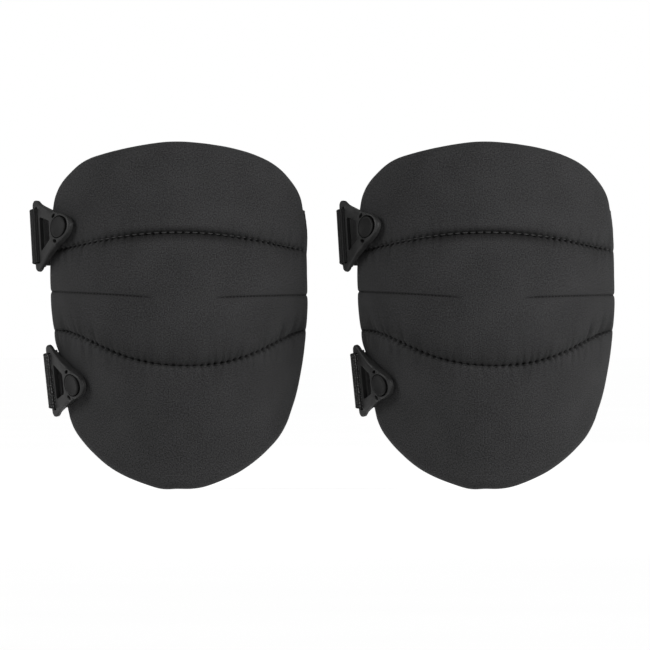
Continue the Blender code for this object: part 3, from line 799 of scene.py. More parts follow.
def quilted(mesh, back=False):
    """Presses the seams, folds, darts and slight unevenness into a fine mesh, and stores their painted shade
    in its shade attribute.
    """
    points = coordinates(mesh)
    x, z = points[:, 0], points[:, 2]
    pressed = [seam.pressed(x, z) for seam in SEAM_LINES] + [darts_pressed(x, z)]
    out = sum(relief for relief, _ in pressed) * (BACK_RELIEF if back else 1.0)
    for height, scale, seed in UNEVENNESS:
        out += height * unevenness(points, scale, seed)
    set_coordinates(mesh, points + out[:, None] * normals(mesh))
    shade = np.clip(sum(dark for _, dark in pressed), *SHADE_LIMITS)
    mesh.attributes.new("shade", "FLOAT", "POINT").data.foreach_set("value", shade.astype(np.float32))
    return mesh


# The cloth swells by up to MOST_SWELL from a start that lies SWELL inside the pad's thickness. The cloth
# is held over the last share of the way out to the edge ring.
SWELL = 0.0016
MOST_SWELL = 0.0022
HELD_SHARE = 0.12
SWELLING_FRAMES = 20


def inflated(mesh, free, cap):
    """The mesh after a short cloth simulation under pressure; free is 0 where it is sewn down, else 1."""
    start = coordinates(mesh)
    holder = holder_of(mesh.copy())
    pins = holder.vertex_groups.new(name="sewn")
    for i, share in enumerate(free):
        pins.add([i], 1.0 - float(share), "REPLACE")
    cloth = holder.modifiers.new("cloth", "CLOTH")
    settings = cloth.settings
    settings.quality = 5
    settings.mass = 0.25
    settings.tension_stiffness = settings.compression_stiffness = 30.0
    settings.shear_stiffness = 12.0
    settings.bending_stiffness = 1.2
    settings.use_pressure = True
    settings.uniform_pressure_force = 4.0
    settings.vertex_group_mass = "sewn"
    settings.effector_weights.gravity = 0.0
    cloth.point_cache.frame_start = 1
    cloth.point_cache.frame_end = SWELLING_FRAMES
    scene = bpy.context.scene
    for step in range(1, SWELLING_FRAMES + 1):
        scene.frame_set(step)
    swollen = evaluated(holder, "swollen")
    moved = coordinates(swollen) - start
    scene.frame_set(1)
    length = np.linalg.norm(moved, axis=1, keepdims=True)
    moved *= cap * np.tanh(length / cap) / np.maximum(length, 1e-9)
    set_coordinates(mesh, start + moved)
    return mesh


def sewn_down(points):
    """0 on the seams and darts, rising to 1 in the middle of each pocket."""
    x, z = points[:, 0], points[:, 2]
    seam_held, seam_rise, dart_held, dart_rise = 0.0012, 0.004, 0.001, 0.003
    free = np.ones(len(points))
    for label in SEAMS:
        free = np.minimum(free, np.clip((np.abs(z - seam_height(label, x)) - seam_held) / seam_rise, 0, 1))
    for label, (side, tip, _, _) in DARTS.items():
        near = np.clip((np.abs(z - dart_height(label, x)) - dart_held) / dart_rise, 0, 1)
        free = np.where(side * x > tip, np.minimum(free, near), free)
    return free


def pad_fabric(name, squares, points_at, edge_ring, back=False):
    """One face of the pad: a coarse sheet, swollen under pressure, then subdivided and quilted."""
    ring, angle, faces = disc_grid(squares)
    start = HALF_THICKNESS - SWELL * (1 - np.clip((ring / edge_ring) ** 8, 0, 1))
    points = points_at(ring, angle, start)
    span = distances_out(points_at, ring, angle)
    uv = span[:, None] * np.stack([np.cos(angle), np.sin(angle)], axis=1)
    mesh = mesh_of(name, points, faces[:, ::-1] if back else faces, uv)
    outer = np.clip((edge_ring - ring) / (HELD_SHARE * edge_ring), 0, 1)
    free = sewn_down(points) * outer
    inflated(mesh, free, MOST_SWELL)
    return quilted(subdivided(mesh, 2), back)


def ribbon_of_binding():
    """Tape folded over the join of cover and lining, with a slight crown on each half."""
    sectors, row_pitch = 360, 0.0016
    radius = HALF_THICKNESS + 0.0011
    crown, tucked_front, tucked_back = 0.00035, 0.0006, 0.0008
    angle = 2 * math.pi * np.arange(sectors) / sectors

    def on_edge(roll, lift):
        return edge_points(angle, np.full_like(angle, roll), np.full_like(angle, lift))

    def on_lining(inwards, lift):
        return pad_points(*polar(inwards * reach(angle), angle), np.full_like(angle, -lift))

    rows = [on_edge(TAPE_FROM_ANGLE, HALF_THICKNESS - tucked_front)]
    for share in np.linspace(0, 1, 7):
        roll = TAPE_FROM_ANGLE + (math.pi - TAPE_FROM_ANGLE) * share
        rows.append(on_edge(roll, radius + crown * math.sin(math.pi * share)))
    for share in np.linspace(0, 1, 6)[1:]:
        lift = radius + crown * math.sin(math.pi * min(1.0, share * 1.05))
        rows.append(on_lining(1 - (1 - TAPE_INNER_SHARE) * share, lift))
    rows.append(on_lining(TAPE_INNER_SHARE, HALF_THICKNESS - tucked_back))
    around = lengths_along(rows[4])
    uv = [(around[k], i * row_pitch) for i in range(len(rows)) for k in range(sectors)]
    mesh = mesh_of("binding", np.concatenate(rows), tube_faces(len(rows), sectors), uv)
    mesh.flip_normals()
    return mesh


def surface_tree(mesh):
    return BVHTree.FromPolygons([v.co for v in mesh.vertices], [tuple(p.vertices) for p in mesh.polygons])


def stitched(name, tree, places, towards, pitch, length, radius, lift, sunk=None):
    """Stitches along a line of places in front view, laid on the surface that tree holds.

    sunk gives how deep the thread lies at a place across, where the fabric closes over it.
    """
    points, outs = [], []
    for x, z in places:
        hit, normal, _, _ = tree.ray_cast(Vector((x, -0.2 * towards, z)), Vector((0, towards, 0)))
        if hit is not None:
            points.append(hit)
            outs.append(normal if normal.y * towards < 0 else -normal)
    points, outs = np.array(points), np.array(outs)
    along = lengths_along(points)

    def at_length(values, length):
        return np.array([np.interp(length, along, values[:, c]) for c in range(3)])

    count = max(1, int(along[-1] / pitch))
    step = along[-1] / count
    sides, sections = 8, 9
    all_points, faces, uv = [], [], []
    for k in range(count):
        first = len(all_points)
        for i in range(sections):
            share = i / (sections - 1)
            at = (k + 0.5) * step + (share - 0.5) * length
            centre = at_length(points, at)
            out = unit(at_length(outs, at))
            side = unit(np.cross(at_length(points, at + 1e-4) - at_length(points, at - 1e-4), out))
            arch = math.sin(math.pi * share)
            full = radius * (0.45 + 0.55 * arch**0.4)
            low = sunk(centre[0]) if sunk else 0.0
            middle = centre + out * (lift * arch**0.6 - 0.6 * radius * (1 - arch**0.5) - low)
            for s in range(sides):
                turn = 2 * math.pi * s / sides
                all_points.append(middle + full * (math.cos(turn) * out + math.sin(turn) * side))
                uv.append((at, turn * radius))
        faces += tube_faces(sections, sides, first)
        faces.append(tuple(first + s for s in reversed(range(sides))))
        faces.append(tuple(first + (sections - 1) * sides + s for s in range(sides)))
    return mesh_of(name, all_points, faces, uv)


def line_places(height_at, low, high, steps=420):
    x = np.linspace(low, high, steps)
    return list(zip(x, height_at(x), strict=True))


# ---------------------------------------------------------------- buttons and clips


def button_frame(strap):
    """Origin on the cover under the button, X towards the clip's apex and Z along the button's axis."""
    x, z = strap["button"]
    axis = Vector(facing(np.float64(x), np.float64(z)))
    across = Vector((0, 0, 1)).cross(axis).normalized()
    basis = Matrix((across, axis.cross(across), axis)).transposed().to_4x4()
    roll = Matrix.Rotation(math.radians(strap["roll"]), 4, "Z")
    return Matrix.Translation(pad_point(x, z, HALF_THICKNESS)) @ basis @ roll


def turned(name, profile, segments=72):
    """A profile of radius and height turned about Z."""
    angles = [2 * math.pi * i / segments for i in range(segments)]
    points = [(r * math.cos(a), r * math.sin(a), h) for a in angles for r, h in profile]
    width = len(profile)
    faces = []
    for i in range(segments):
        here, there = i * width, (i + 1) % segments * width
        faces += [(here + k, here + k + 1, there + k + 1, there + k) for k in range(width - 1)]
    return sharp(closed(mesh_of(name, points, faces), 1e-7), 40)


def rounded_corner(centre, radius, start, end, steps=5):
    """Profile points on an arc, from one angle to another in degrees."""
    angles = [math.radians(start + (end - start) * i / steps) for i in range(steps + 1)]
    return [(centre[0] + radius * math.cos(a), centre[1] + radius * math.sin(a)) for a in angles]


def button_head():
    """The stud: a flat round head with a rounded rim, on a neck."""
    top, low, rim, edge = 0.0070, 0.0046, 0.0008, 0.0005
    dish = 0.00012
    neck_top, neck, foot, foot_top, foot_low = 0.0022, 0.0029, 0.0043, -0.0037, -0.0047
    profile = [(0.0, top - dish), (HEAD_RADIUS - 0.0017, top - dish), (HEAD_RADIUS - 0.0014, top)]
    profile += rounded_corner((HEAD_RADIUS - rim, top - rim), rim, 90, 0)
    profile += rounded_corner((HEAD_RADIUS - edge, low + edge), edge, 0, -90)
    profile += [(0.0060, low), (0.0060, neck_top), (neck, neck_top), (neck, foot_top)]
    profile += [(foot, foot_top), (foot, foot_low), (0.0, foot_low)]
    return turned("button_stud", profile)


def button_base():
    """The flange that the stud turns in, and its sleeve."""
    flange, low, top, rim = 0.0061, 0.0003, 0.0019, 0.0006
    bore, sleeve, sleeve_low = 0.0032, 0.0042, -0.0034
    profile = [(bore, sleeve_low), (bore, top)]
    profile += rounded_corner((flange - rim, top - rim), rim, 90, 0)
    profile += [(flange, low), (sleeve, low), (sleeve, sleeve_low), (bore, sleeve_low)]
    return turned("button_base", profile)


def clip_outline():
    """The rounded triangle: half of it above the apex line, then its mirror image."""
    bar, top = CLIP_BAR_REACH, CLIP_HALF_HEIGHT + 0.0006
    corner = [(-0.0206, top - 0.0022), (-0.0223, top - 0.0006)]
    corner += [(-0.0246, top), (-bar + 0.0011, top - 0.0008), (-bar, top - 0.0034)]
    upper = CLIP_SIDE + corner + [(-bar, 0.0125)]
    return upper + [(x, -z) for x, z in reversed(upper[1:])]


def rounded_polygon(points, radius, steps=4):
    """A polygon with its corners rounded."""
    loop = []
    count = len(points)
    for i in range(count):
        before, here, after = (Vector(points[(i + k) % count]) for k in (-1, 0, 1))
        to_before, to_after = (before - here).normalized(), (after - here).normalized()
        start, end = here + radius * to_before, here + radius * to_after
        for k in range(steps + 1):
            t = k / steps
            loop.append(tuple((1 - t) ** 2 * start + 2 * t * (1 - t) * here + t**2 * end))
    return loop


def eased(share):
    """0 to 1, level at both ends."""
    share = np.clip(share, 0, 1)
    return share**2 * (3 - 2 * share)


def plate_height(x):
    """The clip's top rises from the bar towards the button and falls again towards the apex."""
    rise, fall = eased((x + 0.0200) / 0.0110), eased((x - 0.0010) / 0.0095)
    return CLIP_LOW + CLIP_THICKNESS + 0.00105 * rise - 0.0012 * fall


def plate_underside(x):
    """The clip's underside: it hangs lower round the button than at the bar."""
    return CLIP_LOW - 0.0012 * eased((x + 0.0180) / 0.0100)


def hole_radius(angle):
    """The clip's hole, wider towards the apex."""
    return HEAD_RADIUS + 0.0004 + 0.0011 * np.maximum(0, np.cos(0.9 * np.abs(angle))) ** 2


def clip_shell():
    """The clip's outer loops of points and heights, from the underside round the shoulder to the top."""
    outline = smooth_loop(clip_outline(), 8)[::-1]
    x = outline[:, 0]
    shoulder = 0.0010 + 0.0020 * eased((x + 0.012) / 0.018)
    angle = np.arctan2(outline[:, 1], x)
    kept_clear = np.where(np.abs(angle) > math.radians(85), 0.0114, hole_radius(angle) + 0.0005)
    room = np.linalg.norm(outline, axis=1) - kept_clear
    shoulder = np.minimum(shoulder, np.maximum(room, 0.0006))
    top, low = plate_height(x), plate_underside(x)
    drop = np.minimum(shoulder * 1.45, top - low - 0.0007)
    under = 0.0004
    loops = [(inset(outline, np.full(len(x), under)), low), (outline, low + under)]
    for turn in np.linspace(0, math.pi / 2, 9):
        loops.append((inset(outline, shoulder * (1 - math.cos(turn))), top - drop * (1 - math.sin(turn))))
    return loops


def clip_holes():
    """The clip's holes, each with the size of its rounded edge: button, window, webbing slot, flex slots."""
    angles = np.radians(np.arange(0, 360, 5))
    radii = hole_radius(np.arctan2(np.sin(angles), np.cos(angles)))
    window = [(-0.0199, -0.0121), (-0.0091, -0.0068), (-0.0091, 0.0068), (-0.0199, 0.0121)]
    near, far = -SLOT_MIDDLE + SLOT_HALF_WIDTH, -SLOT_MIDDLE - SLOT_HALF_WIDTH
    end = SLOT_HALF_LENGTH
    slot = [(far, -end), (near, -end), (near, end), (far, end)]
    holes = [
        (np.stack(polar(radii, angles), axis=1), 0.0004),
        (np.array(rounded_polygon(window, 0.0013)), 0.0004),
        (np.array(rounded_polygon(slot, 0.0006, 3)), 0.0003),
    ]
    ring = np.radians(np.arange(0, 360, 24))
    for side in (-1, 1):
        middle = math.radians(FLEX_SLOT_ANGLE * side)
        centre = FLEX_SLOT_RADIUS * np.array([math.cos(middle), math.sin(middle)])
        lengthways = np.array([math.cos(middle - 1.45 * side), math.sin(middle - 1.45 * side)])
        sideways = np.array([-lengthways[1], lengthways[0]])
        across = FLEX_SLOT_HALF_WIDTH * np.sin(ring)[:, None] * sideways
        loop = centre + FLEX_SLOT_HALF_LENGTH * np.cos(ring)[:, None] * lengthways + across
        holes.append((loop, 0.0002))
    return holes


def moulded_clip(name):
    """The clip: a plate with a wide round shoulder at the apex, a window, the button hole and three slots."""
    solid = bmesh.new()

    def add_loop(points, heights):
        return [solid.verts.new((p[0], p[1], h)) for p, h in zip(points, heights, strict=True)]

    def bridge(rings):
        for first, second in zip(rings, rings[1:]):
            for i in range(len(first)):
                j = (i + 1) % len(first)
                solid.faces.new((first[i], first[j], second[j], second[i]))

    rings = [add_loop(points, heights) for points, heights in clip_shell()]
    bridge(rings)
    top_rings, low_rings = [rings[-1]], [rings[0]]
    for loop, bevel in clip_holes():
        outward = loop - loop.mean(axis=0)
        outward = outward / np.linalg.norm(outward, axis=1)[:, None]
        hole_rings = []
        for t in np.linspace(0, math.pi / 2, 5):
            points = loop + bevel * (1 - math.sin(t)) * outward
            hole_rings.append(add_loop(points, plate_height(points[:, 0]) - bevel * (1 - math.cos(t))))
        hole_rings.append(add_loop(loop, plate_underside(loop[:, 0])))
        bridge(hole_rings)
        top_rings.append(hole_rings[0])
        low_rings.append(hole_rings[-1])
    for group in (top_rings, low_rings):
        edges = []
        for ring in group:
            for i, vert in enumerate(ring):
                other = ring[(i + 1) % len(ring)]
                edges.append(solid.edges.get((vert, other)) or solid.edges.new((vert, other)))
        heights = {vert: vert.co.z for ring in group for vert in ring}
        for vert in heights:
            vert.co.z = 0
        bmesh.ops.triangle_fill(solid, use_beauty=True, edges=edges)
        for vert, height in heights.items():
            vert.co.z = height
    bmesh.ops.recalc_face_normals(solid, faces=solid.faces)
    return sharp(finished(name, solid), 38)


# ---------------------------------------------------------------- straps


def arc_points(start, heading, radius, sweep, steps):
    """Points along an arc that turns left, after its start. Headings are in radians from +X."""
    centre = (start[0] - radius * math.sin(heading), start[1] + radius * math.cos(heading))
    turns = [heading + sweep * i / steps for i in range(1, steps + 1)]
    return [(centre[0] + radius * math.sin(t), centre[1] - radius * math.cos(t)) for t in turns]


def strap_line(strap, frame_at, sewn):
    """The strap's line in plan, from the sewn places on the right round the leg to the clip on the left."""
    left, right = strap["sides"]
    heading = math.atan2(sewn[-1].y - sewn[-2].y, sewn[-1].x - sewn[-2].x)
    lift_x = right - STRAP_FILLET_RADIUS * (1 - math.sin(heading))
    line = [(lift_x, sewn[-1].y + (lift_x - sewn[-1].x) * math.tan(heading))]
    line += arc_points(line[0], heading, STRAP_FILLET_RADIUS, math.pi / 2 - heading, FILLET_STEPS)
    left_end = (frame_at @ Vector((-CLIP_BAR_REACH, 0, CLIP_LOW))).y + STRAP_END_BEHIND_BAR
    spring = max(line[-1][1], left_end) + 0.004
    line.append((right, spring))
    half_width = (right - left) / 2
    turn = 2 * math.atan((strap["back"] - spring - STRAP_END_RADIUS) / (half_width - STRAP_END_RADIUS))
    back_radius = STRAP_END_RADIUS + (half_width - STRAP_END_RADIUS) / math.sin(turn)
    side_sweep = math.pi / 2 - turn
    line += arc_points(line[-1], math.pi / 2, STRAP_END_RADIUS, side_sweep, CORNER_STEPS)
    line += arc_points(line[-1], math.pi - turn, back_radius, 2 * turn, BACK_STEPS)
    line += arc_points(line[-1], math.pi + turn, STRAP_END_RADIUS, side_sweep, CORNER_STEPS)
    line.append((left, left_end))
    return line, back_radius


def strap_shape(strap, frame_at):
    """The strap's line, and at each place along it the way from its middle to its top and bottom edges."""
    height = (frame_at @ Vector((-CLIP_BAR_REACH, 0, CLIP_LOW))).z
    rise = HALF_THICKNESS + LINING_LIFT + FABRIC + TAB_GAP + WEB_THICKNESS / 2
    first, last = strap["sewn"]
    sewn_x = [first + (last - first) * i / (SEWN_PLACES - 1) for i in range(SEWN_PLACES)]
    sewn = [pad_point(x, height, -rise) for x in sewn_x]
    line, back_radius = strap_line(strap, frame_at, sewn)
    half = WEB_WIDTH / 2
    sewn_edges = [[pad_point(x, height + side * half, -rise) for side in (1, -1)] for x in sewn_x]
    leaves_pad, nears_clip = 6, 7
    halves = []
    for i in range(len(line)):
        near_pad = max(0.0, 1 - (i / leaves_pad) ** 2)
        near_clip = max(0.0, 1 - (len(line) - 1 - i) / nears_clip)
        pair = []
        for edge, side in zip(sewn_edges[-1], (1, -1), strict=True):
            clip_half = side * half * frame_at.col[1].xyz
            straight = Vector((0, 0, side * half))
            pair.append(near_pad * (edge - sewn[-1]) + near_clip * clip_half)
            pair[-1] += (1 - near_pad - near_clip) * straight
        halves.append(pair)
    return {
        "height": height,
        "rise": rise,
        "sewn_edges": sewn_edges,
        "line": line,
        "halves": halves,
        "arc_centre": Vector((sum(strap["sides"]) / 2, strap["back"] - back_radius, height)),
        "back_radius": back_radius,
    }


def smooth_rows(rows, steps):
    """Catmull-Rom through rows of points, with the ends kept."""
    rows = [np.array([tuple(p) for p in row]) for row in rows]
    dense = []
    for i in range(len(rows) - 1):
        dense += between(*(rows[min(max(i + k, 0), len(rows) - 1)] for k in (-1, 0, 1, 2)), steps)
    return [*dense, rows[-1]]


def web_section():
    """Half the webbing's section, as shares across and out: a flat field between two thicker selvedges."""
    across = [-1.0, -0.992, -0.975, -0.95, -0.925, -0.91, -0.89, -0.6, -0.3, 0.0]
    out = [0.0, 0.62, 0.92, 1.0, 0.94, 0.84, 0.88, 0.90, 0.90, 0.90]
    across += [-a for a in across[-2::-1]]
    out += out[-2::-1]
    return np.array(across), np.array(out)


def ribbon(name, rows, steps=4, curl=None):
    """Webbing between rows of one top and one bottom point, with rounded, slightly thicker edges.

    curl gives how far each row's top edge leans towards the leg; the bottom edge leans half as far.
    """
    curl = np.zeros(len(rows)) if curl is None else curl
    curl = np.interp(np.arange((len(rows) - 1) * steps + 1) / steps, np.arange(len(rows)), curl)
    rows = smooth_rows(rows, steps)
    middle = np.array([(row[0] + row[1]) / 2 for row in rows])
    half = np.array([(row[0] - row[1]) / 2 for row in rows])
    along = np.gradient(middle, axis=0)
    out = unit(np.cross(half, along))
    length = lengths_along(middle)
    across, rise = web_section()
    across_all = np.concatenate([across, across[-2:0:-1]])
    rise_all = np.concatenate([rise, -rise[-2:0:-1]]) * WEB_THICKNESS / 2
    points, uv = [], []
    for i in range(len(rows)):
        for a, r in zip(across_all, rise_all, strict=True):
            lean = curl[i] * a**2 * (1.0 if a < 0 else 0.5)
            points.append(middle[i] - a * half[i] + (r + lean) * out[i])
            uv.append((a * WEB_WIDTH / 2, length[i]))
    around = len(across_all)
    faces = tube_faces(len(rows), around)
    faces.append(tuple(range(around))[::-1])
    faces.append(tuple((len(rows) - 1) * around + k for k in range(around)))
    return sharp(closed(mesh_of(name, points, faces, uv)), 60)


def strap_rows(shape):
    """The inner layer's rows from the sewn end to the clip, and the outer layer's from the tail's end."""
    inner = [list(pair) for pair in shape["sewn_edges"]]
    for (x, y), pair in zip(shape["line"], shape["halves"], strict=True):
        inner.append([Vector((x, y, shape["height"])) + half for half in pair])
    line = shape["line"]
    tail_x = shape["arc_centre"].x + shape["back_radius"] * math.sin(TAIL_PAST_MIDDLE)
    past_corner = FILLET_STEPS + 5
    outer = []
    for i, (x, y) in enumerate(line):
        ahead, behind = line[min(i + 1, len(line) - 1)], line[i - 1]
        along = Vector((ahead[0] - behind[0], ahead[1] - behind[1])).normalized()
        place = Vector((x + LAYER_PITCH * along.y, y - LAYER_PITCH * along.x, shape["height"]))
        if i >= past_corner and place.x < tail_x:
            outer.append([place + half for half in shape["halves"][i]])
    return inner, outer


def loop_rows(frame_at):
    """The turn of webbing round the clip's outer bar, from the strap's inner layer to its outer layer."""
    top = CLIP_LOW + CLIP_THICKNESS + 0.0003 + WEB_THICKNESS / 2
    outer = CLIP_BAR_REACH + 0.0006 + WEB_THICKNESS / 2
    round_off = 0.0013
    line = [
        (-SLOT_MIDDLE - 0.0080, CLIP_LOW - 0.0085),
        (-SLOT_MIDDLE - 0.0010, CLIP_LOW - 0.0024),
        (-SLOT_MIDDLE, CLIP_LOW - 0.0006),
        (-SLOT_MIDDLE, top - round_off),
        (-SLOT_MIDDLE - round_off, top),
        (-outer + round_off, top),
        (-outer, top - round_off),
        (-outer, CLIP_LOW + 0.0008),
        (-outer - 0.0008, CLIP_LOW - 0.0010),
        (-outer - 0.0058, CLIP_LOW - 0.0058),
    ]
    half = WEB_WIDTH / 2
    return [[frame_at @ Vector((x, half, h)), frame_at @ Vector((x, -half, h))] for x, h in line]


def box_mesh(name, low, high, bevel):
    """A box with rounded edges."""
    solid = bmesh.new()
    bmesh.ops.create_cube(solid, size=1.0)
    bmesh.ops.scale(solid, verts=solid.verts, vec=[b - a for a, b in zip(low, high, strict=True)])
    middle = [(a + b) / 2 for a, b in zip(low, high, strict=True)]
    bmesh.ops.translate(solid, verts=solid.verts, vec=middle)
    bmesh.ops.bevel(solid, geom=solid.edges, offset=bevel, segments=3, profile=0.5, affect="EDGES")
    return finished(name, solid)


def adjuster_mesh():
    """The slider: two rails, two outer bars with gripping ribs, and a middle bar inside the strap."""
    half, rail, bar, outer_bar, middle_bar = ADJUSTER_LENGTH / 2, 0.0028, 0.0018, 0.0042, 0.0028
    gap = 0.0009
    inner = -WEB_THICKNESS / 2 - gap
    outer = LAYER_PITCH + WEB_THICKNESS / 2 + gap
    rail_z = WEB_WIDTH / 2 + 0.0008
    bar_z = rail_z + 0.001
    rib_z, rib_pitch, rib_half, rib_sunk, rib_proud = 0.014, 0.0011, 0.00025, 0.0003, 0.0002
    parts = []
    for side in (-1, 1):
        low, high = sorted((side * rail_z, side * (rail_z + rail)))
        parts.append(box_mesh("rail", (-half, inner - bar, low), (half, outer + bar, high), 0.0009))
        near, far = sorted((side * half, side * (half - outer_bar)))
        parts.append(box_mesh("bar", (near, outer, -bar_z), (far, outer + bar, bar_z), 0.0006))
        for k in range(3):
            x = side * (half - 0.0010 - rib_pitch * k)
            low = (x - rib_half, outer + bar - rib_sunk, -rib_z)
            high = (x + rib_half, outer + bar + rib_proud, rib_z)
            parts.append(box_mesh("rib", low, high, 0.0001))
    parts.append(box_mesh("middle", (-middle_bar, inner - bar, -bar_z), (middle_bar, inner, bar_z), 0.0006))
    return sharp(joined("adjuster", parts), 40)


def tab_mesh(start, shape):
    """The patch over the strap's sewn end, from that place across, and the corners of its stitching."""
    half = WEB_WIDTH / 2 + 0.002
    rise = shape["rise"] + WEB_THICKNESS + 0.0004
    rounding, margin, stitch_width = 0.0012, 0.0022, 0.0005
    across, along = np.meshgrid(np.linspace(0, 1, 33), np.linspace(-1, 1, 65))
    edge = np.minimum(np.minimum(across, 1 - across) * TAB_LENGTH, (1 - np.abs(along)) * half)
    pillow = 0.0005 * np.sqrt(np.clip(edge / rounding, 0, 1))
    sewn = 0.00035 * np.exp(-(((edge - margin) / stitch_width) ** 2))
    x, z = start + TAB_LENGTH * across, shape["height"] + half * along
    front = pad_points(x, z, -(rise + pillow - sewn)).reshape(-1, 3)
    back = pad_points(x, z, -(rise - pillow)).reshape(-1, 3)
    rows, columns = across.shape
    count = rows * columns
    faces = []
    for i in range(rows - 1):
        for a in range(i * columns, (i + 1) * columns - 1):
            faces.append((a, a + 1, a + columns + 1, a + columns))
            faces.append(tuple(count + v for v in (a + columns, a + columns + 1, a + 1, a)))
    uv = np.stack([x.ravel(), z.ravel()], axis=1)
    mesh = mesh_of("anchor_tab", np.concatenate([front, back]), faces, np.concatenate([uv, uv]))
    left, right = start + margin, start + TAB_LENGTH - margin
    low, high = shape["height"] - half + margin, shape["height"] + half - margin
    return sharp(closed(mesh, 1e-6), 60), [(left, low), (right, low), (right, high), (left, high)]


def line_between(points, looped=True, step=0.0008):
    """Places close together along straight lines."""
    places = []
    ends = [*points, points[0]] if looped else points
    for (ax, az), (bx, bz) in zip(ends, ends[1:]):
        count = max(1, int(math.hypot(bx - ax, bz - az) / step))
        places += [(ax + (bx - ax) * i / count, az + (bz - az) * i / count) for i in range(count)]
    return places


# ---------------------------------------------------------------- the pair


THREAD_RADIUS = 0.00036
FINE_THREAD_RADIUS = 0.00022
BACK_SEAM_REACH = 0.070
# Where a strap leaves the pad its top edge curls towards the leg, most at this row.
CURL = 0.0028
CURL_MIDDLE = 10
CURL_ROWS = 3.0


def thread_depth(x):
    """The seams' thread shows in the middle and sinks between the folds on the wings."""
    return 0.00045 * float(np.clip((abs(x + 0.010) - 0.044) / 0.014, 0, 1))


def placed(made, slot, body, *nodes):
    """Rides the piece on a body, in the place of those nodes."""
    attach(made, body)
    if nodes:
        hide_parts(*nodes)
    return made


def pad_threads(cover, lining):
    """The stitches of the seams, on the front and on the back, and of the darts."""
    front_tree, back_tree = surface_tree(cover), surface_tree(lining)
    threads = {}
    for label in SEAMS:
        places = line_places(partial(seam_height, label), *SEAM_ENDS[label])
        threads[f"{label}_seam_thread"] = stitched(
            "seam_thread", front_tree, places, 1, STITCH_PITCH, 0.0041, THREAD_RADIUS, 0.00030, thread_depth
        )
        places = line_places(partial(seam_height, label), -BACK_SEAM_REACH, BACK_SEAM_REACH)
        threads[f"{label}_seam_back_thread"] = stitched(
            "back_thread", back_tree, places, -1, STITCH_PITCH, 0.0043, THREAD_RADIUS, 0.00022
        )
    for label, (side, tip, _, _) in DARTS.items():
        ends = sorted((side * (tip + 0.006), side * 0.0835))
        places = line_places(partial(dart_height, label), *ends)
        threads[f"{label}_dart_thread"] = stitched(
            "dart_thread", front_tree, places, 1, 0.0026, 0.0016, FINE_THREAD_RADIUS, 0.0
        )
    return threads


def build_pads():
    cover = pad_fabric("cover", COVER_SQUARES, cover_points, FRONT_SHARE)
    lining = pad_fabric("lining", LINING_SQUARES, lining_points, 1.0, back=True)
    binding = ribbon_of_binding()
    threads = pad_threads(cover, lining)
    hard = {"stud": button_head(), "base": button_base()}
    hard |= {"clip": moulded_clip("clip"), "slider": adjuster_mesh()}
    for side, x in PADS.items():
        build_pad(side, x, cover, lining, binding, threads)
        for label, strap in STRAPS.items():
            build_strap(side, x, label, strap, hard)


def build_pad(side, x, cover, lining, binding, threads):
    pad = side + "_pad"
    foams = [f"{side}_foam_{name}" for name in ("thigh", "knee", "shin")]
    shell = piece(side + "_quilted_cover", cover, NYLON, x)
    placed(shell, "cover_nylon", pad, side + "_cover", *foams)
    inner = piece(side + "_quilted_lining", lining, KNIT, x)
    placed(inner, "lining_knit", pad, side + "_lining")
    placed(piece(side + "_edge_tape", binding, TAPE, x), "binding_tape", pad, side + "_binding")
    for name, mesh in threads.items():
        # Only the upper seam's front stitches take the lit thread; the rest take the darker copy, painted
        # shade.
        shown = THREAD if name == "upper_seam_thread" else SHADED_THREAD
        placed(piece(f"{side}_{name}", mesh, shown, x), "binding_tape", pad)


def build_webbing(side, x, prefix, shaded_webbing, frame_at, shape):
    """The strap in four pieces: the start rides with the pad; the side, the tail and the end round the clip's
    bar stay where they are made.
    """
    pad, button, clip = side + "_pad", prefix + "button", prefix + "clip"
    inner, outer = strap_rows(shape)
    middle_row = SEWN_PLACES + FILLET_STEPS + 2 + CORNER_STEPS + BACK_STEPS // 2
    end_row = len(inner) - 4
    start_rows = inner[: middle_row + 1]
    curl = CURL * np.exp(-(((np.arange(len(start_rows)) - CURL_MIDDLE) / CURL_ROWS) ** 2))
    start = ribbon("strap", start_rows, curl=curl)
    placed(piece(prefix + "elastic_strap", start, WEBBING, x), "webbing", pad, prefix + "strap")
    side_rows = inner[middle_row : end_row + 1]
    side_strap = piece(prefix + "elastic_strap_side", ribbon("strap_side", side_rows), WEBBING, x)
    tail = piece(prefix + "elastic_tail", ribbon("strap_tail", outer[: len(outer) - 3]), WEBBING, x)
    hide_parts(prefix + "strap_tail")
    for made in (side_strap, tail):
        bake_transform(made)
    end_rows = inner[end_row:] + loop_rows(frame_at) + outer[: len(outer) - 5 : -1]
    # The end round the clip's bar takes the darker copy of the elastic, painted shade.
    end_piece = piece(prefix + "elastic_end", ribbon("strap_end", end_rows, 6), shaded_webbing, x)
    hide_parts(prefix + "strap_loop")
    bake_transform(end_piece)


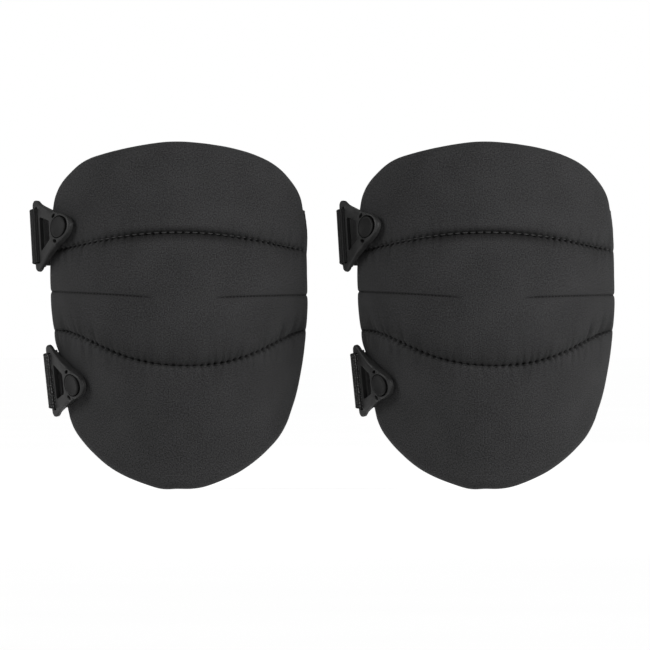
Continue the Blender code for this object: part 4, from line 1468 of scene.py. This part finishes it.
def build_strap(side, x, label, strap, hard):
    prefix = f"{side}_{label}_"
    pad, button, clip = side + "_pad", prefix + "button", prefix + "clip"
    frame_at = button_frame(strap)
    shape = strap_shape(strap, frame_at)
    stud = piece(prefix + "snap_stud", hard["stud"], STUD_PLASTIC, x, frame_at)
    placed(stud, "clip_plastic", button, prefix + "button_stud")
    base = piece(prefix + "snap_base", hard["base"], PLASTIC, x, frame_at)
    placed(base, "clip_plastic", pad, prefix + "button_base")
    plate = piece(prefix + "moulded_clip", hard["clip"], PLASTIC, x, frame_at)
    placed(plate, "clip_plastic", clip, prefix + "clip")
    build_webbing(side, x, prefix, SHADED_WEBBING[label], frame_at, shape)
    slider_at = Matrix.Translation(shape["arc_centre"]) @ Matrix.Rotation(ADJUSTER_ANGLE, 4, "Z")
    slider_at = slider_at @ Matrix.Translation((0, shape["back_radius"], 0))
    slider = piece(prefix + "slide_adjuster", hard["slider"], PLASTIC, x, slider_at)
    placed(slider, "clip_plastic", prefix + "adjuster", prefix + "adjuster")
    tab, corners = tab_mesh(strap["sewn"][0] - 0.003, shape)
    placed(piece(prefix + "sewn_tab", tab, TAPE, x), "binding_tape", pad, prefix + "anchor_tab")
    tree = surface_tree(tab)
    seams = (line_between(corners), line_between(corners[::2], False), line_between(corners[1::2], False))
    threads = []
    for places in seams:
        threads.append(stitched("tab_seam", tree, places, -1, 0.0024, 0.0018, FINE_THREAD_RADIUS, 0.00012))
    placed(piece(prefix + "tab_thread", joined("tab_thread", threads), THREAD, x), "binding_tape", pad)


# ---------------------------------------------------------------- light, floor and camera

# The surroundings are a white wall up to this height on the unit sphere, fading to a darker ceiling.
WALL_TOP = 0.12
CEILING_FROM = 0.35
CEILING = 0.35
# Towards the camera the surroundings lose up to this share of their light.
FRONT_DIMMED = 0.45
SOFTBOX_SIZE = 0.8

# A long lens, as the photo has hardly any perspective: the width framed is at this place along Y.
CAMERA_LENS = 800.0
CAMERA_SENSOR = 36.0
CAMERA_FRAMED = 0.442
CAMERA_FOCUS_Y = 0.035


def softbox(name, place, power, aim):
    light = bpy.data.lights.new(name, "AREA")
    light.shape = "RECTANGLE"
    light.size = light.size_y = SOFTBOX_SIZE
    light.energy = power
    made = bpy.data.objects.new(name, light)
    made.location = place
    made.rotation_euler = (Vector(aim) - Vector(place)).to_track_quat("-Z", "Y").to_euler()
    bpy.context.scene.collection.objects.link(made)


def build_stage():
    scene = bpy.context.scene
    low, high = cad_box
    middle_x = (low.x + high.x) / 2
    solid = bmesh.new()
    bmesh.ops.create_circle(solid, cap_ends=True, segments=96, radius=40.0)
    bmesh.ops.translate(solid, verts=solid.verts, vec=(middle_x, 0, low.z - 0.002))
    floor_mesh = finished("floor", solid)
    pale = Surface("pale_floor", 0.9, 0.0)
    pale.colour(pale.noise(3.0, 2.0, "Object"), 0.24, 0.27)
    pale.inputs["Emission Color"].default_value = (1, 1, 1, 1)
    pale.inputs["Emission Strength"].default_value = 0.90
    floor_mesh.materials.append(pale.material)
    floor = bpy.data.objects.new("floor", floor_mesh)
    scene.collection.objects.link(floor)

    world = bpy.data.worlds.new("studio")
    scene.world = world
    world.use_nodes = True
    background = world.node_tree.nodes["Background"].inputs
    sky = Nodes(world.node_tree)
    split = sky.node("ShaderNodeSeparateXYZ", "Generated")
    wall = sky.ramp(sky.math("ABSOLUTE", split.outputs[2]), (WALL_TOP, 1.0), (CEILING_FROM, CEILING))
    towards_camera = sky.math("MINIMUM", split.outputs[1], 0.0)
    dimmed = sky.math("MULTIPLY", sky.math("MULTIPLY", towards_camera, towards_camera), FRONT_DIMMED)
    sky.link(sky.scaled(wall.outputs[0], sky.math("SUBTRACT", 1.0, dimmed)), background["Color"])
    background["Strength"].default_value = 1.0

    aim = (middle_x, 0.02, 0.0)
    softbox("key_softbox", (middle_x - 1.15, -0.85, 0.85), 22.0, aim)
    softbox("fill_softbox", (middle_x + 1.38, -0.72, 0.48), 33.0, aim)

    camera = bpy.data.cameras.new("camera")
    camera.lens = CAMERA_LENS
    camera.sensor_width = CAMERA_SENSOR
    distance = CAMERA_FRAMED * camera.lens / camera.sensor_width
    made = bpy.data.objects.new("camera", camera)
    made.location = (0.0993, CAMERA_FOCUS_Y - distance, -0.0061)
    made.rotation_euler = (math.radians(90), 0, 0)
    camera.clip_end = 100.0
    scene.collection.objects.link(made)
    scene.camera = made
    scene.view_settings.view_transform = "Standard"


def finish_frame_nodes():
    """The washers stay as they are, and take a procedural material."""
    for name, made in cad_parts.items():
        if "washer" in name:
            made.data.materials.clear()
            made.data.materials.append(STEEL)


build_stage()
finish_frame_nodes()
build_pads()
